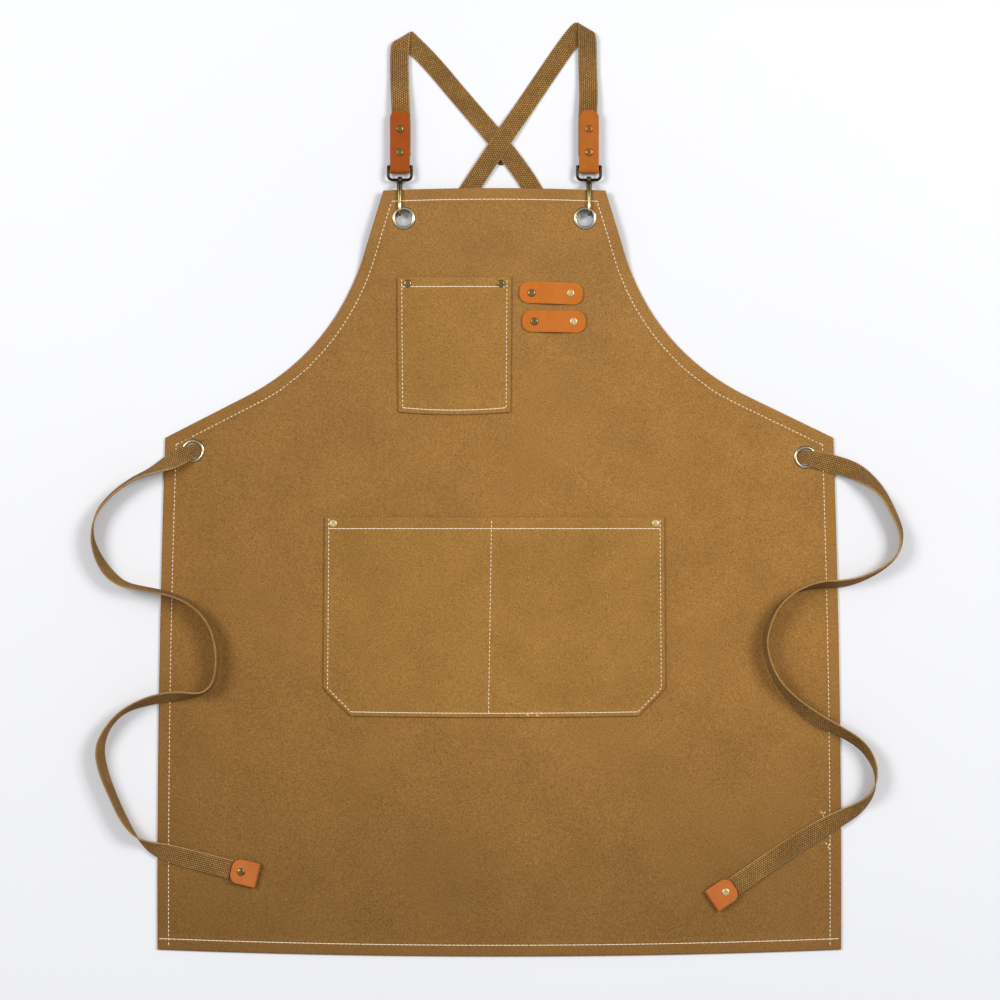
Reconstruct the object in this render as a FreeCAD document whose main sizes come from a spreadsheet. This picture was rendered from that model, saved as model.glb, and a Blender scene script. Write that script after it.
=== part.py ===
"""A cross-back work apron lying flat: canvas panel, pockets, webbing straps and snap hooks.

Millimetres, +Z up, +Y towards the bib, +X to the wearer's left as the apron lies face up.
"""
import FreeCAD, Part, Sketcher
import math
import os
import re

from FreeCAD import Placement, Rotation, Vector

os.makedirs("parts", exist_ok=True)
doc = FreeCAD.newDocument("apron")

# ---------------------------------------------------------------- driving sizes
SIZES = (
    # canvas panel
    ("apron_length", 786),  # hem to bib edge, on the middle line
    ("apron_width", 700),  # across the hem
    ("underarm_width", 684),  # across the two underarm corners
    ("underarm_drop", 255),  # bib edge to underarm corners
    ("bib_width", 227),
    ("bib_lean", -5),  # how far the bib lies off the middle of the hem
    ("armhole_half_width", 164),  # where the armhole's two straights would meet
    ("armhole_drop", 166.6),
    ("armhole_radius", 245),
    ("hem_bow", 7),
    ("side_bow", 2.5),
    ("bib_bow", 2.5),
    ("canvas", 1.0),  # cloth thickness
    ("hem_layers", 2),  # turned under, below the cloth itself
    ("hem_width", 13),
    ("bib_lift", 6.6),  # the snap hooks hold the bib edge this far up
    ("bib_flat", 46),
    ("bib_slope", 42),
    # eyelets
    ("eyelet_hole_radius", 8.7),
    ("eyelet_wall", 0.7),
    ("eyelet_rim_radius", 11.8),
    ("eyelet_rim", 0.6),
    ("rim_outer_bevel", 0.3),
    ("rim_inner_bevel", 0.4),
    ("washer", 0.6),
    ("eyelet_spread", 92.6),
    ("eyelet_drop", 31),
    ("side_eyelet_inset", 28.5),
    ("left_eyelet_drop", 268.5),
    ("right_eyelet_drop", 275),
    # rivets
    ("rivet_cap_radius", 4.1),
    ("rivet_cap", 1.3),
    ("rivet_cap_top", 2.46),  # radius of the cap's flat top
    ("rivet_post_radius", 1.3),
    ("rivet_back_radius", 3.8),
    ("rivet_back", 0.6),
    ("rivet_fit", 0.05),
    # pockets
    ("pocket_room", 4.8),
    ("pocket_slope", 5),
    ("pocket_seam", 4),
    ("pocket_flange", 14.2),  # flat strip beside the mouth, where the rivets are
    ("chest_pocket_width", 114.5),
    ("chest_pocket_depth", 136.6),
    ("chest_pocket_x", -41),
    ("chest_pocket_drop", 91.5),
    ("chest_rivet_inset", 9.7),
    ("lower_pocket_width", 347.4),
    ("lower_pocket_depth", 202),
    ("lower_pocket_corner", 27.6),
    ("hollow_corner", 19.32),  # the hollow's own cut corner, inside the seam
    ("lower_pocket_x", -5),
    ("lower_pocket_height", 449),  # hem to pocket mouth
    ("pocket_divider", -5),
    ("lower_rivet_inset", 8.8),
    ("rivet_drop", 5.8),
    # leather tool loops
    ("loop_length", 65),
    ("loop_width", 22),
    ("loop_leather", 2.0),
    ("loop_room", 4.8),
    ("loop_arch", 20),
    ("loop_slope", 4),
    ("loop_round", 9.24),
    ("loop_rivet_spacing", 40),
    ("upper_loop_x", 58),
    ("upper_loop_drop", 107),
    ("lower_loop_x", 61),
    ("lower_loop_drop", 136),
    # webbing
    ("strap_width", 19),
    ("strap", 1.2),
    ("floor_gap", 0.1),
    ("keeper", 0.8),
    ("keeper_length", 38),
    ("keeper_seam", 3.8),
    ("keeper_room", 0.2),
    ("keeper_shift", 3),  # from the crossing, along the right strap
    ("layer_gap", 0.1),
    ("cupped_width", 12),  # the webbing where it is cupped inside a side eyelet
    ("cupped_depth", 4),
    # leather hook tabs
    ("tab_length", 64.5),
    ("tab_width", 20),
    ("tab_leather", 1.8),
    ("tab_spread", 96.6),
    ("tab_top", 79.4),  # beyond the bib edge
    ("tab_rivet_first", 19),
    ("tab_rivet_pitch", 24),
    ("tab_fold", 5),  # leather alone, between the ring's bar and the strap's end
    # swivel snap hooks
    ("hook_wire_radius", 1.4),
    ("hook_bend_radius", 5.2),
    ("hook_bend_drop", 22.2),  # bib edge to the bend's centre
    ("hook_head", 4.4),
    ("hook_head_width", 5.0),
    ("hook_fit", 0.06),
    ("swivel_post_radius", 1.3),
    ("swivel_button_radius", 2.3),
    ("swivel_button", 1.2),
    ("swivel_boss_radius", 2.8),
    ("swivel_boss", 3.6),
    ("swivel_play", 0.3),
    ("ring_wire_radius", 1.5),
    ("ring_half_width", 11.8),
    ("ring_length", 13.6),
    ("ring_drop", 8.4),  # bib edge to the ring's lower bar
    ("ring_corner", 4.5),
    ("gate_length", 10.2),
    ("gate_width", 1.9),
    ("gate_depth", 2.0),
    ("gate_pin_radius", 0.6),
    ("gate_gap", 0.3),
    ("gate_knuckle_radius", 1.35),
    ("gate_play", 0.1),  # each side of the gate, in the head's slot
    ("gate_slot_below", 3),
    ("gate_slot_tall", 6.2),
    ("gate_slot_wall", 0.5),
    ("pin_fit", 0.02),
    ("spring_coil", 0.7),
    ("spring_coil_radius", 1.2),
    ("spring_fit", 0.1),
    # leather end tabs
    ("end_tab_length", 28),
    ("end_tab_width", 25),
    ("end_tab_leather", 1.6),
    ("end_tab_round", 9),
    ("end_rivet_inset", 10.5),
    ("end_tab_play", 0.2),  # each side of the strap's end
    ("end_tab_web", 2),  # leather left at the fold
)
NAMES = {name for name, value in SIZES}
sizes = doc.addObject("Spreadsheet::Sheet", "sizes")
for row, (name, value) in enumerate(SIZES, start=1):
    sizes.set(f"A{row}", name)
    sizes.set(f"B{row}", str(value))
    sizes.setAlias(f"B{row}", name)
doc.recompute()


def size(name):
    """A driving size, read back from the sheet."""
    return float(getattr(sizes, name))


def formula(text):
    """An expression in which each size's name is given its sheet."""
    return re.sub(
        r"[a-z]\w*",
        lambda word: "sizes." + word[0] if word[0] in NAMES else word[0],
        str(text),
    )


def bind(piece, place, **bound):
    """Ties properties, and the place's three coordinates, to the sheet."""
    for key, text in zip("xyz", place):
        piece.setExpression(f"Placement.Base.{key}", formula(text))
    for key, text in bound.items():
        piece.setExpression(key, formula(text))
    return piece


TURNS = {
    "X": Rotation(Vector(0, 1, 0), 90),
    "Y": Rotation(Vector(1, 0, 0), -90),
    "Z": Rotation(),
}


def block(name, place, length, width, height):
    piece = doc.addObject("Part::Box", name)
    return bind(piece, place, Length=length, Width=width, Height=height)


def rod(name, place, radius, height, along="Z"):
    piece = doc.addObject("Part::Cylinder", name)
    piece.Placement = Placement(Vector(), TURNS[along])
    return bind(piece, place, Radius=radius, Height=height)


def fuse(name, *pieces):
    piece = doc.addObject("Part::MultiFuse", name)
    piece.Shapes = list(pieces)
    return piece


def group(name, *pieces):
    piece = doc.addObject("Part::Compound", name)
    piece.Links = list(pieces)
    return piece


def cut(name, base, *tools):
    piece = doc.addObject("Part::Cut", name)
    piece.Base = base
    piece.Tool = tools[0] if len(tools) == 1 else group(name + "_holes", *tools)
    return piece


def feature(name, shape, place=None):
    piece = doc.addObject("Part::Feature", name)
    piece.Shape = shape
    piece.Placement = place or Placement()
    return piece


def body_sketch(body, plane, name):
    """A sketch on one of the body's own origin planes."""
    sketch = body.newObject("Sketcher::SketchObject", name)
    flat = [f for f in body.Origin.OriginFeatures if f.Role == plane][0]
    sketch.AttachmentSupport = (flat, [""])
    sketch.MapMode = "FlatFace"
    return sketch


def draw(sketch, corners):
    """A closed outline whose corners are held at distances tied to the sheet."""
    first = sketch.GeometryCount
    count = len(corners)
    for i in range(count):
        start = Vector(10 * math.cos(i), 10 * math.sin(i), 0)
        end = Vector(10 * math.cos(i + 1), 10 * math.sin(i + 1), 0)
        sketch.addGeometry(Part.LineSegment(start, end), False)
    for i in range(count):
        following = first + (i + 1) % count
        sketch.addConstraint(Sketcher.Constraint("Coincident", first + i, 2, following, 1))
    for i, corner in enumerate(corners):
        for kind, text in zip(("DistanceX", "DistanceY"), corner):
            held = sketch.addConstraint(Sketcher.Constraint(kind, -1, 1, first + i, 1, 1.0))
            sketch.setExpression(f"Constraints[{held}]", formula(text))


def pad(body, sketch, length, **options):
    piece = body.newObject("PartDesign::Pad", sketch.Name + "_pad")
    piece.Profile = sketch
    piece.setExpression("Length", formula(length))
    for key, value in options.items():
        setattr(piece, key, value)
    return piece


def pocket(body, sketch, length, **options):
    piece = body.newObject("PartDesign::Pocket", sketch.Name + "_pocket")
    piece.Profile = sketch
    piece.setExpression("Length", formula(length))
    for key, value in options.items():
        setattr(piece, key, value)
    return piece


# ---------------------------------------------------------------- reach of the cutting tools
PAST = "5"  # a drill starts this far before the face it goes through
SUNK = "1"  # how far one shape runs into the one it joins
BEYOND = "20"  # a hollow and a trim run this far past the cloth's edge
TALL = "40"  # higher than the whole apron

# ---------------------------------------------------------------- shared places, as formulas
MIDDLE = "(apron_length + tab_top) / 2"
HEM_Y = f"(-{MIDDLE})"
BIB_Y = f"(apron_length - {MIDDLE})"
CLOTH_LOW = "canvas * hem_layers"
CLOTH_TOP = "(canvas * (hem_layers + 1))"
BIB_TOP = f"({CLOTH_TOP} + bib_lift)"
HOOK_LOW = "(floor_gap + hook_wire_radius)"
HOOK_Z = f"({HOOK_LOW} + hook_bend_radius)"
SIDES = (("left", -1), ("right", 1))

hem_y = -(size("apron_length") + size("tab_top")) / 2
bib_y = hem_y + size("apron_length")
cloth_low = size("canvas") * size("hem_layers")
cloth_top = cloth_low + size("canvas")
hook_z = size("floor_gap") + size("hook_wire_radius") + size("hook_bend_radius")


# ---------------------------------------------------------------- canvas panel
def panel_outline():
    """The cut edge: hem, sides, underarms, armholes and bib, as lines and arcs."""
    lean = size("bib_lean")
    half_hem = size("apron_width") / 2
    half_arm = size("underarm_width") / 2
    half_bib = size("bib_width") / 2
    arm_y = bib_y - size("underarm_drop")
    corner_y = bib_y - size("armhole_drop")
    edge_y = bib_y - size("bib_bow")
    hem_corner_y = hem_y + size("hem_bow")
    edges = [
        Part.Arc(
            Vector(-half_hem, hem_corner_y, 0),
            Vector(0, hem_y, 0),
            Vector(half_hem, hem_corner_y, 0),
        ).toShape()
    ]
    for side in (1, -1):
        underarm = Vector(side * half_arm, arm_y, 0)
        hem_end = Vector(side * half_hem, hem_corner_y, 0)
        bib_end = Vector(lean + side * half_bib, edge_y, 0)
        corner = Vector(lean + side * size("armhole_half_width"), corner_y, 0)
        bowed = (underarm + hem_end) / 2 + Vector(side * size("side_bow"), 0, 0)
        down = (underarm - corner).normalize()
        up = (bib_end - corner).normalize()
        half_angle = down.getAngle(up) / 2
        reach = size("armhole_radius") / math.tan(half_angle)
        inward = (down + up).normalize()
        centre = corner + inward * (size("armhole_radius") / math.sin(half_angle))
        deepest = centre - inward * size("armhole_radius")
        low, high = corner + down * reach, corner + up * reach
        edges += [
            Part.Arc(hem_end, bowed, underarm).toShape(),
            Part.makeLine(underarm, low),
            Part.Arc(low, deepest, high).toShape(),
            Part.makeLine(high, bib_end),
        ]
    edges.append(
        Part.Arc(
            Vector(lean - half_bib, edge_y, 0),
            Vector(lean, bib_y, 0),
            Vector(lean + half_bib, edge_y, 0),
        ).toShape()
    )
    return Part.Wire(Part.__sortEdges__(edges))


def side_slab(low, high):
    """The panel's side view between two heights, with its rise to the bib, as wide as the apron."""
    rise = size("bib_lift")
    flat_y = bib_y - size("bib_flat")
    slope_y = flat_y - size("bib_slope")
    reach = float(BEYOND)
    line = [(hem_y - reach, 0), (slope_y, 0), (flat_y, rise), (bib_y + reach, rise)]
    corners = [Vector(0, y, low + z) for y, z in line]
    corners += [Vector(0, y, high + z) for y, z in reversed(line)]
    face = Part.Face(Part.makePolygon(corners + corners[:1]))
    width = size("apron_width") + 2 * reach
    slab = face.extrude(Vector(width, 0, 0))
    slab.translate(Vector(-width / 2, 0, 0))
    return slab


outline = panel_outline()
tall = Vector(0, 0, float(TALL))
plan = Part.Face(outline).extrude(tall)
inner_plan = Part.Face(outline.makeOffset2D(-size("hem_width"))).extrude(tall)
sheet = side_slab(cloth_low, cloth_top).common(plan)
hem = side_slab(0, cloth_low).common(plan.cut(inner_plan))
blank = feature("panel_blank", sheet.fuse(hem).removeSplitter())

# ---------------------------------------------------------------- eyelets
eyelets = {}
for side, sign in SIDES:
    eyelets[side + "_bib"] = (
        f"bib_lean + {sign} * eyelet_spread",
        f"{BIB_Y} - eyelet_drop",
        f"{CLOTH_LOW} + bib_lift",
    )
    eyelets[side + "_side"] = (
        f"{sign} * (underarm_width / 2 - side_eyelet_inset)",
        f"{BIB_Y} - {side}_eyelet_drop",
        CLOTH_LOW,
    )
panel_holes = []
nodes = {}
for name, place in eyelets.items():
    x, y, z = place
    eyelet = doc.addObject("PartDesign::Body", name + "_eyelet")
    ring = body_sketch(eyelet, "XZ_Plane", name + "_ring")
    hole, wall = "eyelet_hole_radius", "(eyelet_hole_radius + eyelet_wall)"
    rim_top = "(canvas + eyelet_rim)"
    draw(
        ring,
        [
            (hole, "-washer"),
            (wall, "-washer"),
            (wall, "canvas"),
            ("eyelet_rim_radius", "canvas"),
            ("eyelet_rim_radius - rim_outer_bevel", rim_top),
            (f"{hole} + rim_inner_bevel", rim_top),
            (hole, f"{rim_top} - rim_inner_bevel"),
        ],
    )
    turned = eyelet.newObject("PartDesign::Revolution", name + "_turned")
    turned.Profile = ring
    turned.ReferenceAxis = (ring, ["V_Axis"])
    turned.Angle = 360
    bind(eyelet, place)
    nodes[name + "_eyelet"] = eyelet
    low = f"{z} - washer"
    disc = rod(name + "_disc", (x, y, low), "eyelet_rim_radius", "washer")
    bore = rod(name + "_bore", (x, y, f"{z} - {PAST}"), f"{wall} + rivet_fit", f"2 * {PAST}")
    nodes[name + "_washer"] = cut(name + "_washer", disc, bore)
    panel_holes.append(
        rod(name + "_hole", (x, y, f"{z} - {PAST}"), f"{wall} + rivet_fit", f"2 * {PAST}")
    )


# ---------------------------------------------------------------- rivets
def rivets(node, places, turn=None):
    """Caps with their posts in one node and the backs in another; each place is x, y, top, low."""
    caps, backs = [], []
    for i, (x, y, top, low) in enumerate(places):
        name = f"{node}_{i}"
        cap = doc.addObject("Part::Cone", name + "_cap")
        bind(cap, (x, y, top), Radius1="rivet_cap_radius", Radius2="rivet_cap_top",
             Height="rivet_cap")
        post = rod(name + "_post", (x, y, f"{low} - rivet_back"), "rivet_post_radius",
                   f"{top} - ({low}) + rivet_back")
        caps.append(fuse(name + "_rivet", cap, post))
        disc = rod(name + "_disc", (x, y, f"{low} - rivet_back"), "rivet_back_radius", "rivet_back")
        bore = rod(name + "_bore", (x, y, f"{low} - {PAST}"), "rivet_post_radius + rivet_fit",
                   f"2 * {PAST}")
        backs.append(cut(name + "_back", disc, bore))
    nodes[node + "_rivets"] = group(node + "_rivets", *caps)
    nodes[node + "_rivet_backs"] = group(node + "_rivet_backs", *backs)


def post_holes(node, places):
    return [
        rod(f"{node}_drill_{i}", (x, y, "0"), "rivet_post_radius + rivet_fit", TALL)
        for i, (x, y, top, low) in enumerate(places)
    ]


# ---------------------------------------------------------------- pockets
def sewn_pocket(node, place, outline_corners, hollows, rivet_places):
    """Sewn flat round three sides, with a low belly for each hollow, open towards the bib."""
    cloth = doc.addObject("PartDesign::Body", node + "_cloth")
    flange = body_sketch(cloth, "XY_Plane", node + "_flange")
    draw(flange, outline_corners)
    pad(cloth, flange, "canvas")
    for i, corners in enumerate(hollows):
        belly = body_sketch(cloth, "XY_Plane", f"{node}_belly_{i}")
        draw(belly, corners)
        belly.setExpression("AttachmentOffset.Base.z", formula("canvas"))
        raised = pad(cloth, belly, "pocket_room")
        raised.setExpression("TaperAngle", formula("-atan(pocket_slope / pocket_room)"))
    for i, corners in enumerate(hollows):
        hollow = body_sketch(cloth, "XY_Plane", f"{node}_hollow_{i}")
        draw(hollow, corners)
        opened = pocket(cloth, hollow, "pocket_room", Reversed=True)
        opened.setExpression("TaperAngle", formula("-atan(pocket_slope / pocket_room)"))
    bind(cloth, place)
    x, y, z = place
    wide = "(lower_pocket_width + chest_pocket_width)"
    trim = block(node + "_trim", (f"{x} - {wide}", y, f"{z} - {SUNK}"), f"2 * {wide}",
                 f"2 * {BEYOND}", TALL)
    nodes[node] = cut(node, cloth, trim, *post_holes(node, rivet_places))


def hollow_corners(left, right, low, corner_left, corner_right):
    """A hollow's outline, run on past the mouth, with its lower corners cut off if asked."""
    corners = [(left, BEYOND), (right, BEYOND)]
    corners += [(right, f"{low} + {corner_right}"), (f"{right} - {corner_right}", low)] \
        if corner_right != "0" else [(right, low)]
    corners += [(f"{left} + {corner_left}", low), (left, f"{low} + {corner_left}")] \
        if corner_left != "0" else [(left, low)]
    return corners


chest = (
    "bib_lean + chest_pocket_x",
    f"{BIB_Y} - chest_pocket_drop",
    CLOTH_TOP,
)
lower = ("lower_pocket_x", f"{HEM_Y} + lower_pocket_height", CLOTH_TOP)
rivet_tops = f"{CLOTH_TOP} + canvas"
chest_rivets = [
    (f"{chest[0]} + {sign} * (chest_pocket_width / 2 - chest_rivet_inset)",
     f"{chest[1]} - rivet_drop", rivet_tops, CLOTH_LOW)
    for side, sign in SIDES
]
lower_rivets = [
    (f"{lower[0]} + {sign} * (lower_pocket_width / 2 - lower_rivet_inset)",
     f"{lower[1]} - rivet_drop", rivet_tops, CLOTH_LOW)
    for side, sign in SIDES
]
half = "chest_pocket_width / 2"
deep = "-chest_pocket_depth"
sewn_pocket(
    "chest_pocket",
    chest,
    [(f"-{half}", "0"), (half, "0"), (half, deep), (f"-{half}", deep)],
    [
        hollow_corners(
            f"(pocket_flange - {half})", f"({half} - pocket_flange)",
            f"({deep} + pocket_seam)", "0", "0",
        )
    ],
    chest_rivets,
)
half = "lower_pocket_width / 2"
deep = "-lower_pocket_depth"
nip = "lower_pocket_corner"
sewn_pocket(
    "lower_pocket",
    lower,
    [
        (f"-{half}", "0"), (half, "0"), (half, f"{deep} + {nip}"), (f"{half} - {nip}", deep),
        (f"{nip} - {half}", deep), (f"-{half}", f"{deep} + {nip}"),
    ],
    [
        hollow_corners(
            f"(pocket_flange - {half})", "(pocket_divider - pocket_seam)",
            f"({deep} + pocket_seam)", "hollow_corner", "0",
        ),
        hollow_corners(
            "(pocket_divider + pocket_seam)", f"({half} - pocket_flange)",
            f"({deep} + pocket_seam)", "0", "hollow_corner",
        ),
    ],
    lower_rivets,
)
rivets("chest_pocket", chest_rivets)
rivets("lower_pocket", lower_rivets)

# ---------------------------------------------------------------- leather tool loops
loop_rivets = []
for level in ("upper", "lower"):
    x = f"bib_lean + {level}_loop_x"
    y = f"{BIB_Y} - {level}_loop_drop"
    strip = doc.addObject("PartDesign::Body", level + "_loop_strip")
    arch = body_sketch(strip, "XZ_Plane", level + "_arch")
    end, foot, crown = "loop_length / 2", "loop_arch / 2 + loop_slope", "loop_arch / 2"
    high = "loop_leather + loop_room"
    draw(
        arch,
        [
            (f"-{end}", "0"), (f"-({foot})", "0"), (f"-({crown})", "loop_room"),
            (crown, "loop_room"), (foot, "0"), (end, "0"), (end, "loop_leather"),
            (foot, "loop_leather"), (crown, high), (f"-({crown})", high),
            (f"-({foot})", "loop_leather"), (f"-{end}", "loop_leather"),
        ],
    )
    plate = pad(strip, arch, "loop_width", SideType="Symmetric")
    doc.recompute()
    ends = [
        f"Edge{i + 1}" for i, edge in enumerate(plate.Shape.Edges)
        if abs(edge.BoundBox.ZLength - size("loop_leather")) < 1e-6 and edge.BoundBox.XLength < 1e-6
        and abs(abs(edge.CenterOfMass.x) - size("loop_length") / 2) < 1e-6
    ]
    rounded = strip.newObject("PartDesign::Fillet", level + "_loop_ends")
    rounded.Base = (plate, ends)
    rounded.setExpression("Radius", formula("loop_round"))
    bind(strip, (x, y, CLOTH_TOP))
    places = [
        (f"{x} + {sign} * loop_rivet_spacing / 2", y, f"{CLOTH_TOP} + loop_leather", CLOTH_LOW)
        for side, sign in SIDES
    ]
    node = level + "_tool_loop"
    nodes[node] = cut(node, strip, *post_holes(node, places))
    loop_rivets += places
rivets("tool_loop", loop_rivets)

# ---------------------------------------------------------------- the finished panel
panel_holes += post_holes("panel", chest_rivets + lower_rivets + loop_rivets)
nodes["apron_panel"] = cut("apron_panel", blank, *panel_holes)

# ---------------------------------------------------------------- hook tabs, rings, hooks, gates
for side, sign in SIDES:
    x = f"(bib_lean + {sign} * tab_spread)"
    top = f"({BIB_Y} + tab_top)"
    low = f"({top} - tab_length)"
    bar_y = f"({BIB_Y} + ring_drop + ring_length)"
    thick = "(2 * tab_leather + strap)"
    under = f"({HOOK_Z} - {thick} / 2)"
    eye = "(ring_wire_radius + hook_fit)"
    # leather folded round the ring's bar, with the strap's end between its two layers
    name = side + "_hook_tab"
    fold = f"({eye} + tab_leather)"
    slab = block(name + "_slab", (f"{x} - tab_width / 2", f"{low} + {fold}", under),
                 "tab_width", f"tab_length - {fold}", thick)
    roll = rod(name + "_roll", (f"{x} - tab_width / 2", f"{low} + {fold}", HOOK_Z), fold,
               "tab_width", "X")
    leather = fuse(name + "_leather", slab, roll)
    slot = block(name + "_slot",
                 (f"{x} - tab_width / 2 - 1", f"{low} + 2 * {fold} + tab_fold", f"{HOOK_Z} - strap / 2"),
                 "tab_width + 2", "tab_length", "strap")
    bore = rod(name + "_bore", (f"{x} - tab_width", bar_y, HOOK_Z), eye, "2 * tab_width", "X")
    space = block(name + "_space",
                  (f"{x} - tab_width", f"{low} + {fold}", f"{HOOK_Z} - {eye}"),
                  "2 * tab_width", f"{bar_y} - ({low} + {fold})", f"2 * {eye}")
    loose = rod(name + "_loose", (f"{x} - tab_width", f"{low} + {fold}", HOOK_Z), eye,
                "2 * tab_width", "X")
    places = [
        (x, f"{top} - tab_rivet_first - {i} * tab_rivet_pitch", f"{under} + {thick}", under)
        for i in range(2)
    ]
    nodes[name] = cut(name, leather, slot, bore, space, loose, *post_holes(name, places))
    rivets(name, places)

    # the ring: a bar through the fold, two sides, a lower bar and the swivel's boss
    name = side + "_ring"
    low_y = f"({BIB_Y} + ring_drop)"
    wire = "ring_wire_radius"
    wide = "ring_half_width"
    round_y = f"({low_y} + ring_corner)"
    parts = [
        rod(name + "_bar", (f"{x} - {wide}", bar_y, HOOK_Z), wire, f"2 * {wide}", "X"),
        rod(name + "_lower", (f"{x} - {wide} + ring_corner", low_y, HOOK_Z), wire,
            f"2 * ({wide} - ring_corner)", "X"),
        rod(name + "_boss", (x, f"{low_y} - swivel_boss / 2", HOOK_Z), "swivel_boss_radius",
            "swivel_boss", "Y"),
    ]
    for end, way in (("a", -1), ("b", 1)):
        at = f"{x} + {way} * {wide}"
        parts.append(rod(f"{name}_side_{end}", (at, round_y, HOOK_Z), wire,
                         f"{bar_y} - {round_y}", "Y"))
        ball = doc.addObject("Part::Sphere", f"{name}_ball_{end}")
        parts.append(bind(ball, (at, bar_y, HOOK_Z), Radius=wire))
        bend = doc.addObject("Part::Torus", f"{name}_bend_{end}")
        bend.Placement = Placement(Vector(), Rotation(Vector(0, 0, 1), 180 if way < 0 else 270))
        bend.Angle3 = 90
        parts.append(bind(bend, (f"{x} + {way} * ({wide} - ring_corner)", round_y, HOOK_Z),
                          Radius1="ring_corner", Radius2=wire))
    bore = rod(name + "_bore", (x, f"{low_y} - {PAST}", HOOK_Z), "swivel_post_radius + hook_fit",
               f"2 * {PAST}", "Y")
    nodes[side + "_swivel_ring"] = cut(side + "_swivel_ring", fuse(name + "_solid", *parts), bore)

    # the hook: spine over the cloth, bend through the eyelet, return leg under the hem
    name = side + "_hook"
    wire = "hook_wire_radius"
    head_y = f"({low_y} - swivel_boss / 2 - swivel_play - hook_head)"
    bend_y = f"({BIB_Y} - hook_bend_drop)"
    pin_y = f"({head_y} + hook_head / 2)"
    tip_y = f"({pin_y} - gate_length - gate_gap)"
    spine = rod(name + "_spine", (x, bend_y, f"{HOOK_Z} + hook_bend_radius"), wire,
                f"{head_y} + {SUNK} - {bend_y}", "Y")
    leg = rod(name + "_leg", (x, bend_y, HOOK_LOW), wire, f"{tip_y} - {bend_y}", "Y")
    bend = doc.addObject("Part::Torus", name + "_bend")
    bend.Angle3 = 180
    upright = Rotation(Vector(0, 0, -1), Vector(0, -1, 0), Vector(-1, 0, 0), "XYZ")
    bend.Placement = Placement(Vector(), upright)
    bind(bend, (x, bend_y, HOOK_Z), Radius1="hook_bend_radius", Radius2=wire)
    tall_z = f"2 * (hook_bend_radius + {wire})"
    head = block(name + "_head", (f"{x} - hook_head_width / 2", head_y, "floor_gap"),
                 "hook_head_width", "hook_head", tall_z)
    post = rod(name + "_post", (x, f"{head_y} + hook_head - {SUNK}", HOOK_Z), "swivel_post_radius",
               f"swivel_boss + 2 * swivel_play + 2 * {SUNK}", "Y")
    button = rod(name + "_button",
                 (x, f"{head_y} + hook_head + swivel_boss + 2 * swivel_play", HOOK_Z),
                 "swivel_button_radius", "swivel_button", "Y")
    slot = block(name + "_slot",
                 (f"{x} - gate_width / 2 - gate_play", f"{head_y} - {SUNK}",
                  f"{HOOK_LOW} - gate_slot_below"),
                 "gate_width + spring_coil + 3 * gate_play",
                 f"hook_head + {SUNK} - gate_slot_wall", "gate_slot_tall")
    bore = rod(name + "_bore", (f"{x} - {PAST}", pin_y, HOOK_LOW), "gate_pin_radius + pin_fit",
               f"2 * {PAST}", "X")
    nodes[name] = cut(name, fuse(name + "_solid", spine, leg, bend, head, post, button), slot, bore)
    nodes[side + "_gate_pin"] = rod(side + "_gate_pin",
                                    (f"{x} - hook_head_width / 2", pin_y, HOOK_LOW),
                                    "gate_pin_radius", "hook_head_width", "X")
    coil = rod(name + "_coil", (f"{x} + gate_width / 2 + gate_play", pin_y, HOOK_LOW),
               "spring_coil_radius", "spring_coil", "X")
    core = rod(name + "_core", (f"{x} - {PAST}", pin_y, HOOK_LOW), "gate_pin_radius + spring_fit",
               f"2 * {PAST}", "X")
    nodes[side + "_gate_spring"] = cut(side + "_gate_spring", coil, core)
    knuckle = rod(side + "_gate_knuckle", (f"{x} - gate_width / 2", pin_y, HOOK_LOW),
                  "gate_knuckle_radius", "gate_width", "X")
    bar = block(side + "_gate_bar",
                (f"{x} - gate_width / 2", f"{pin_y} - gate_length", f"{HOOK_LOW} - gate_depth / 2"),
                "gate_width", "gate_length", "gate_depth")
    eye_hole = rod(side + "_gate_eye", (f"{x} - {PAST}", pin_y, HOOK_LOW),
                   "gate_pin_radius + hook_fit", f"2 * {PAST}", "X")
    nodes[side + "_gate"] = cut(side + "_gate", fuse(side + "_gate_solid", knuckle, bar), eye_hole)

# ---------------------------------------------------------------- webbing straps
ARC_SHARE = 0.45  # of the shorter run beside a corner, taken up by its arc
TAB_RUN, TAB_END = 34, 72  # along the rise: level inside the tab, then down on the table
RIM_RUN, RIM_END = 38, 47  # past a side eyelet: level on its rim, then down
HUMP = 24  # each side of the crossing, before the webbing comes down
HUMP_END = 2.2 * HUMP
END_RISE, END_LEVEL = 22, 4  # before the end tab: starts to rise, then level
PAST_END = 200  # further than any run is long


def flat_stretch(points, heights):
    """Webbing lying flat along straight runs; heights are (distance along, underside) pairs."""
    width, thick = size("strap_width"), size("strap")
    solids = []
    start = 0.0
    for a, b in zip(points, points[1:]):
        run = Vector(b[0] - a[0], b[1] - a[1], 0)
        stop = start + run.Length
        knots = [start] + [d for d, z in heights if start < d < stop] + [stop]
        low = [Vector(d - start, 0, level(heights, d)) for d in knots]
        high = [point + Vector(0, 0, thick) for point in reversed(low)]
        face = Part.Face(Part.makePolygon(low + high + low[:1]))
        solid = face.extrude(Vector(0, width, 0))
        solid.translate(Vector(0, -width / 2, 0))
        turn = math.degrees(math.atan2(run.y, run.x))
        solid.Placement = Placement(Vector(*a, 0), Rotation(Vector(0, 0, 1), turn)).multiply(
            solid.Placement
        )
        solids.append(solid)
        if a != points[0]:
            disc = Part.makeCylinder(width / 2, thick, Vector(*a, level(heights, start)))
            solids.append(disc)
        start = stop
    return solids


def level(heights, distance):
    """The webbing's underside at a distance along, between the given pairs."""
    for (d0, z0), (d1, z1) in zip(heights, heights[1:]):
        if d0 <= distance <= d1:
            return z0 + (z1 - z0) * (distance - d0) / (d1 - d0)
    return heights[-1][1]


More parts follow.
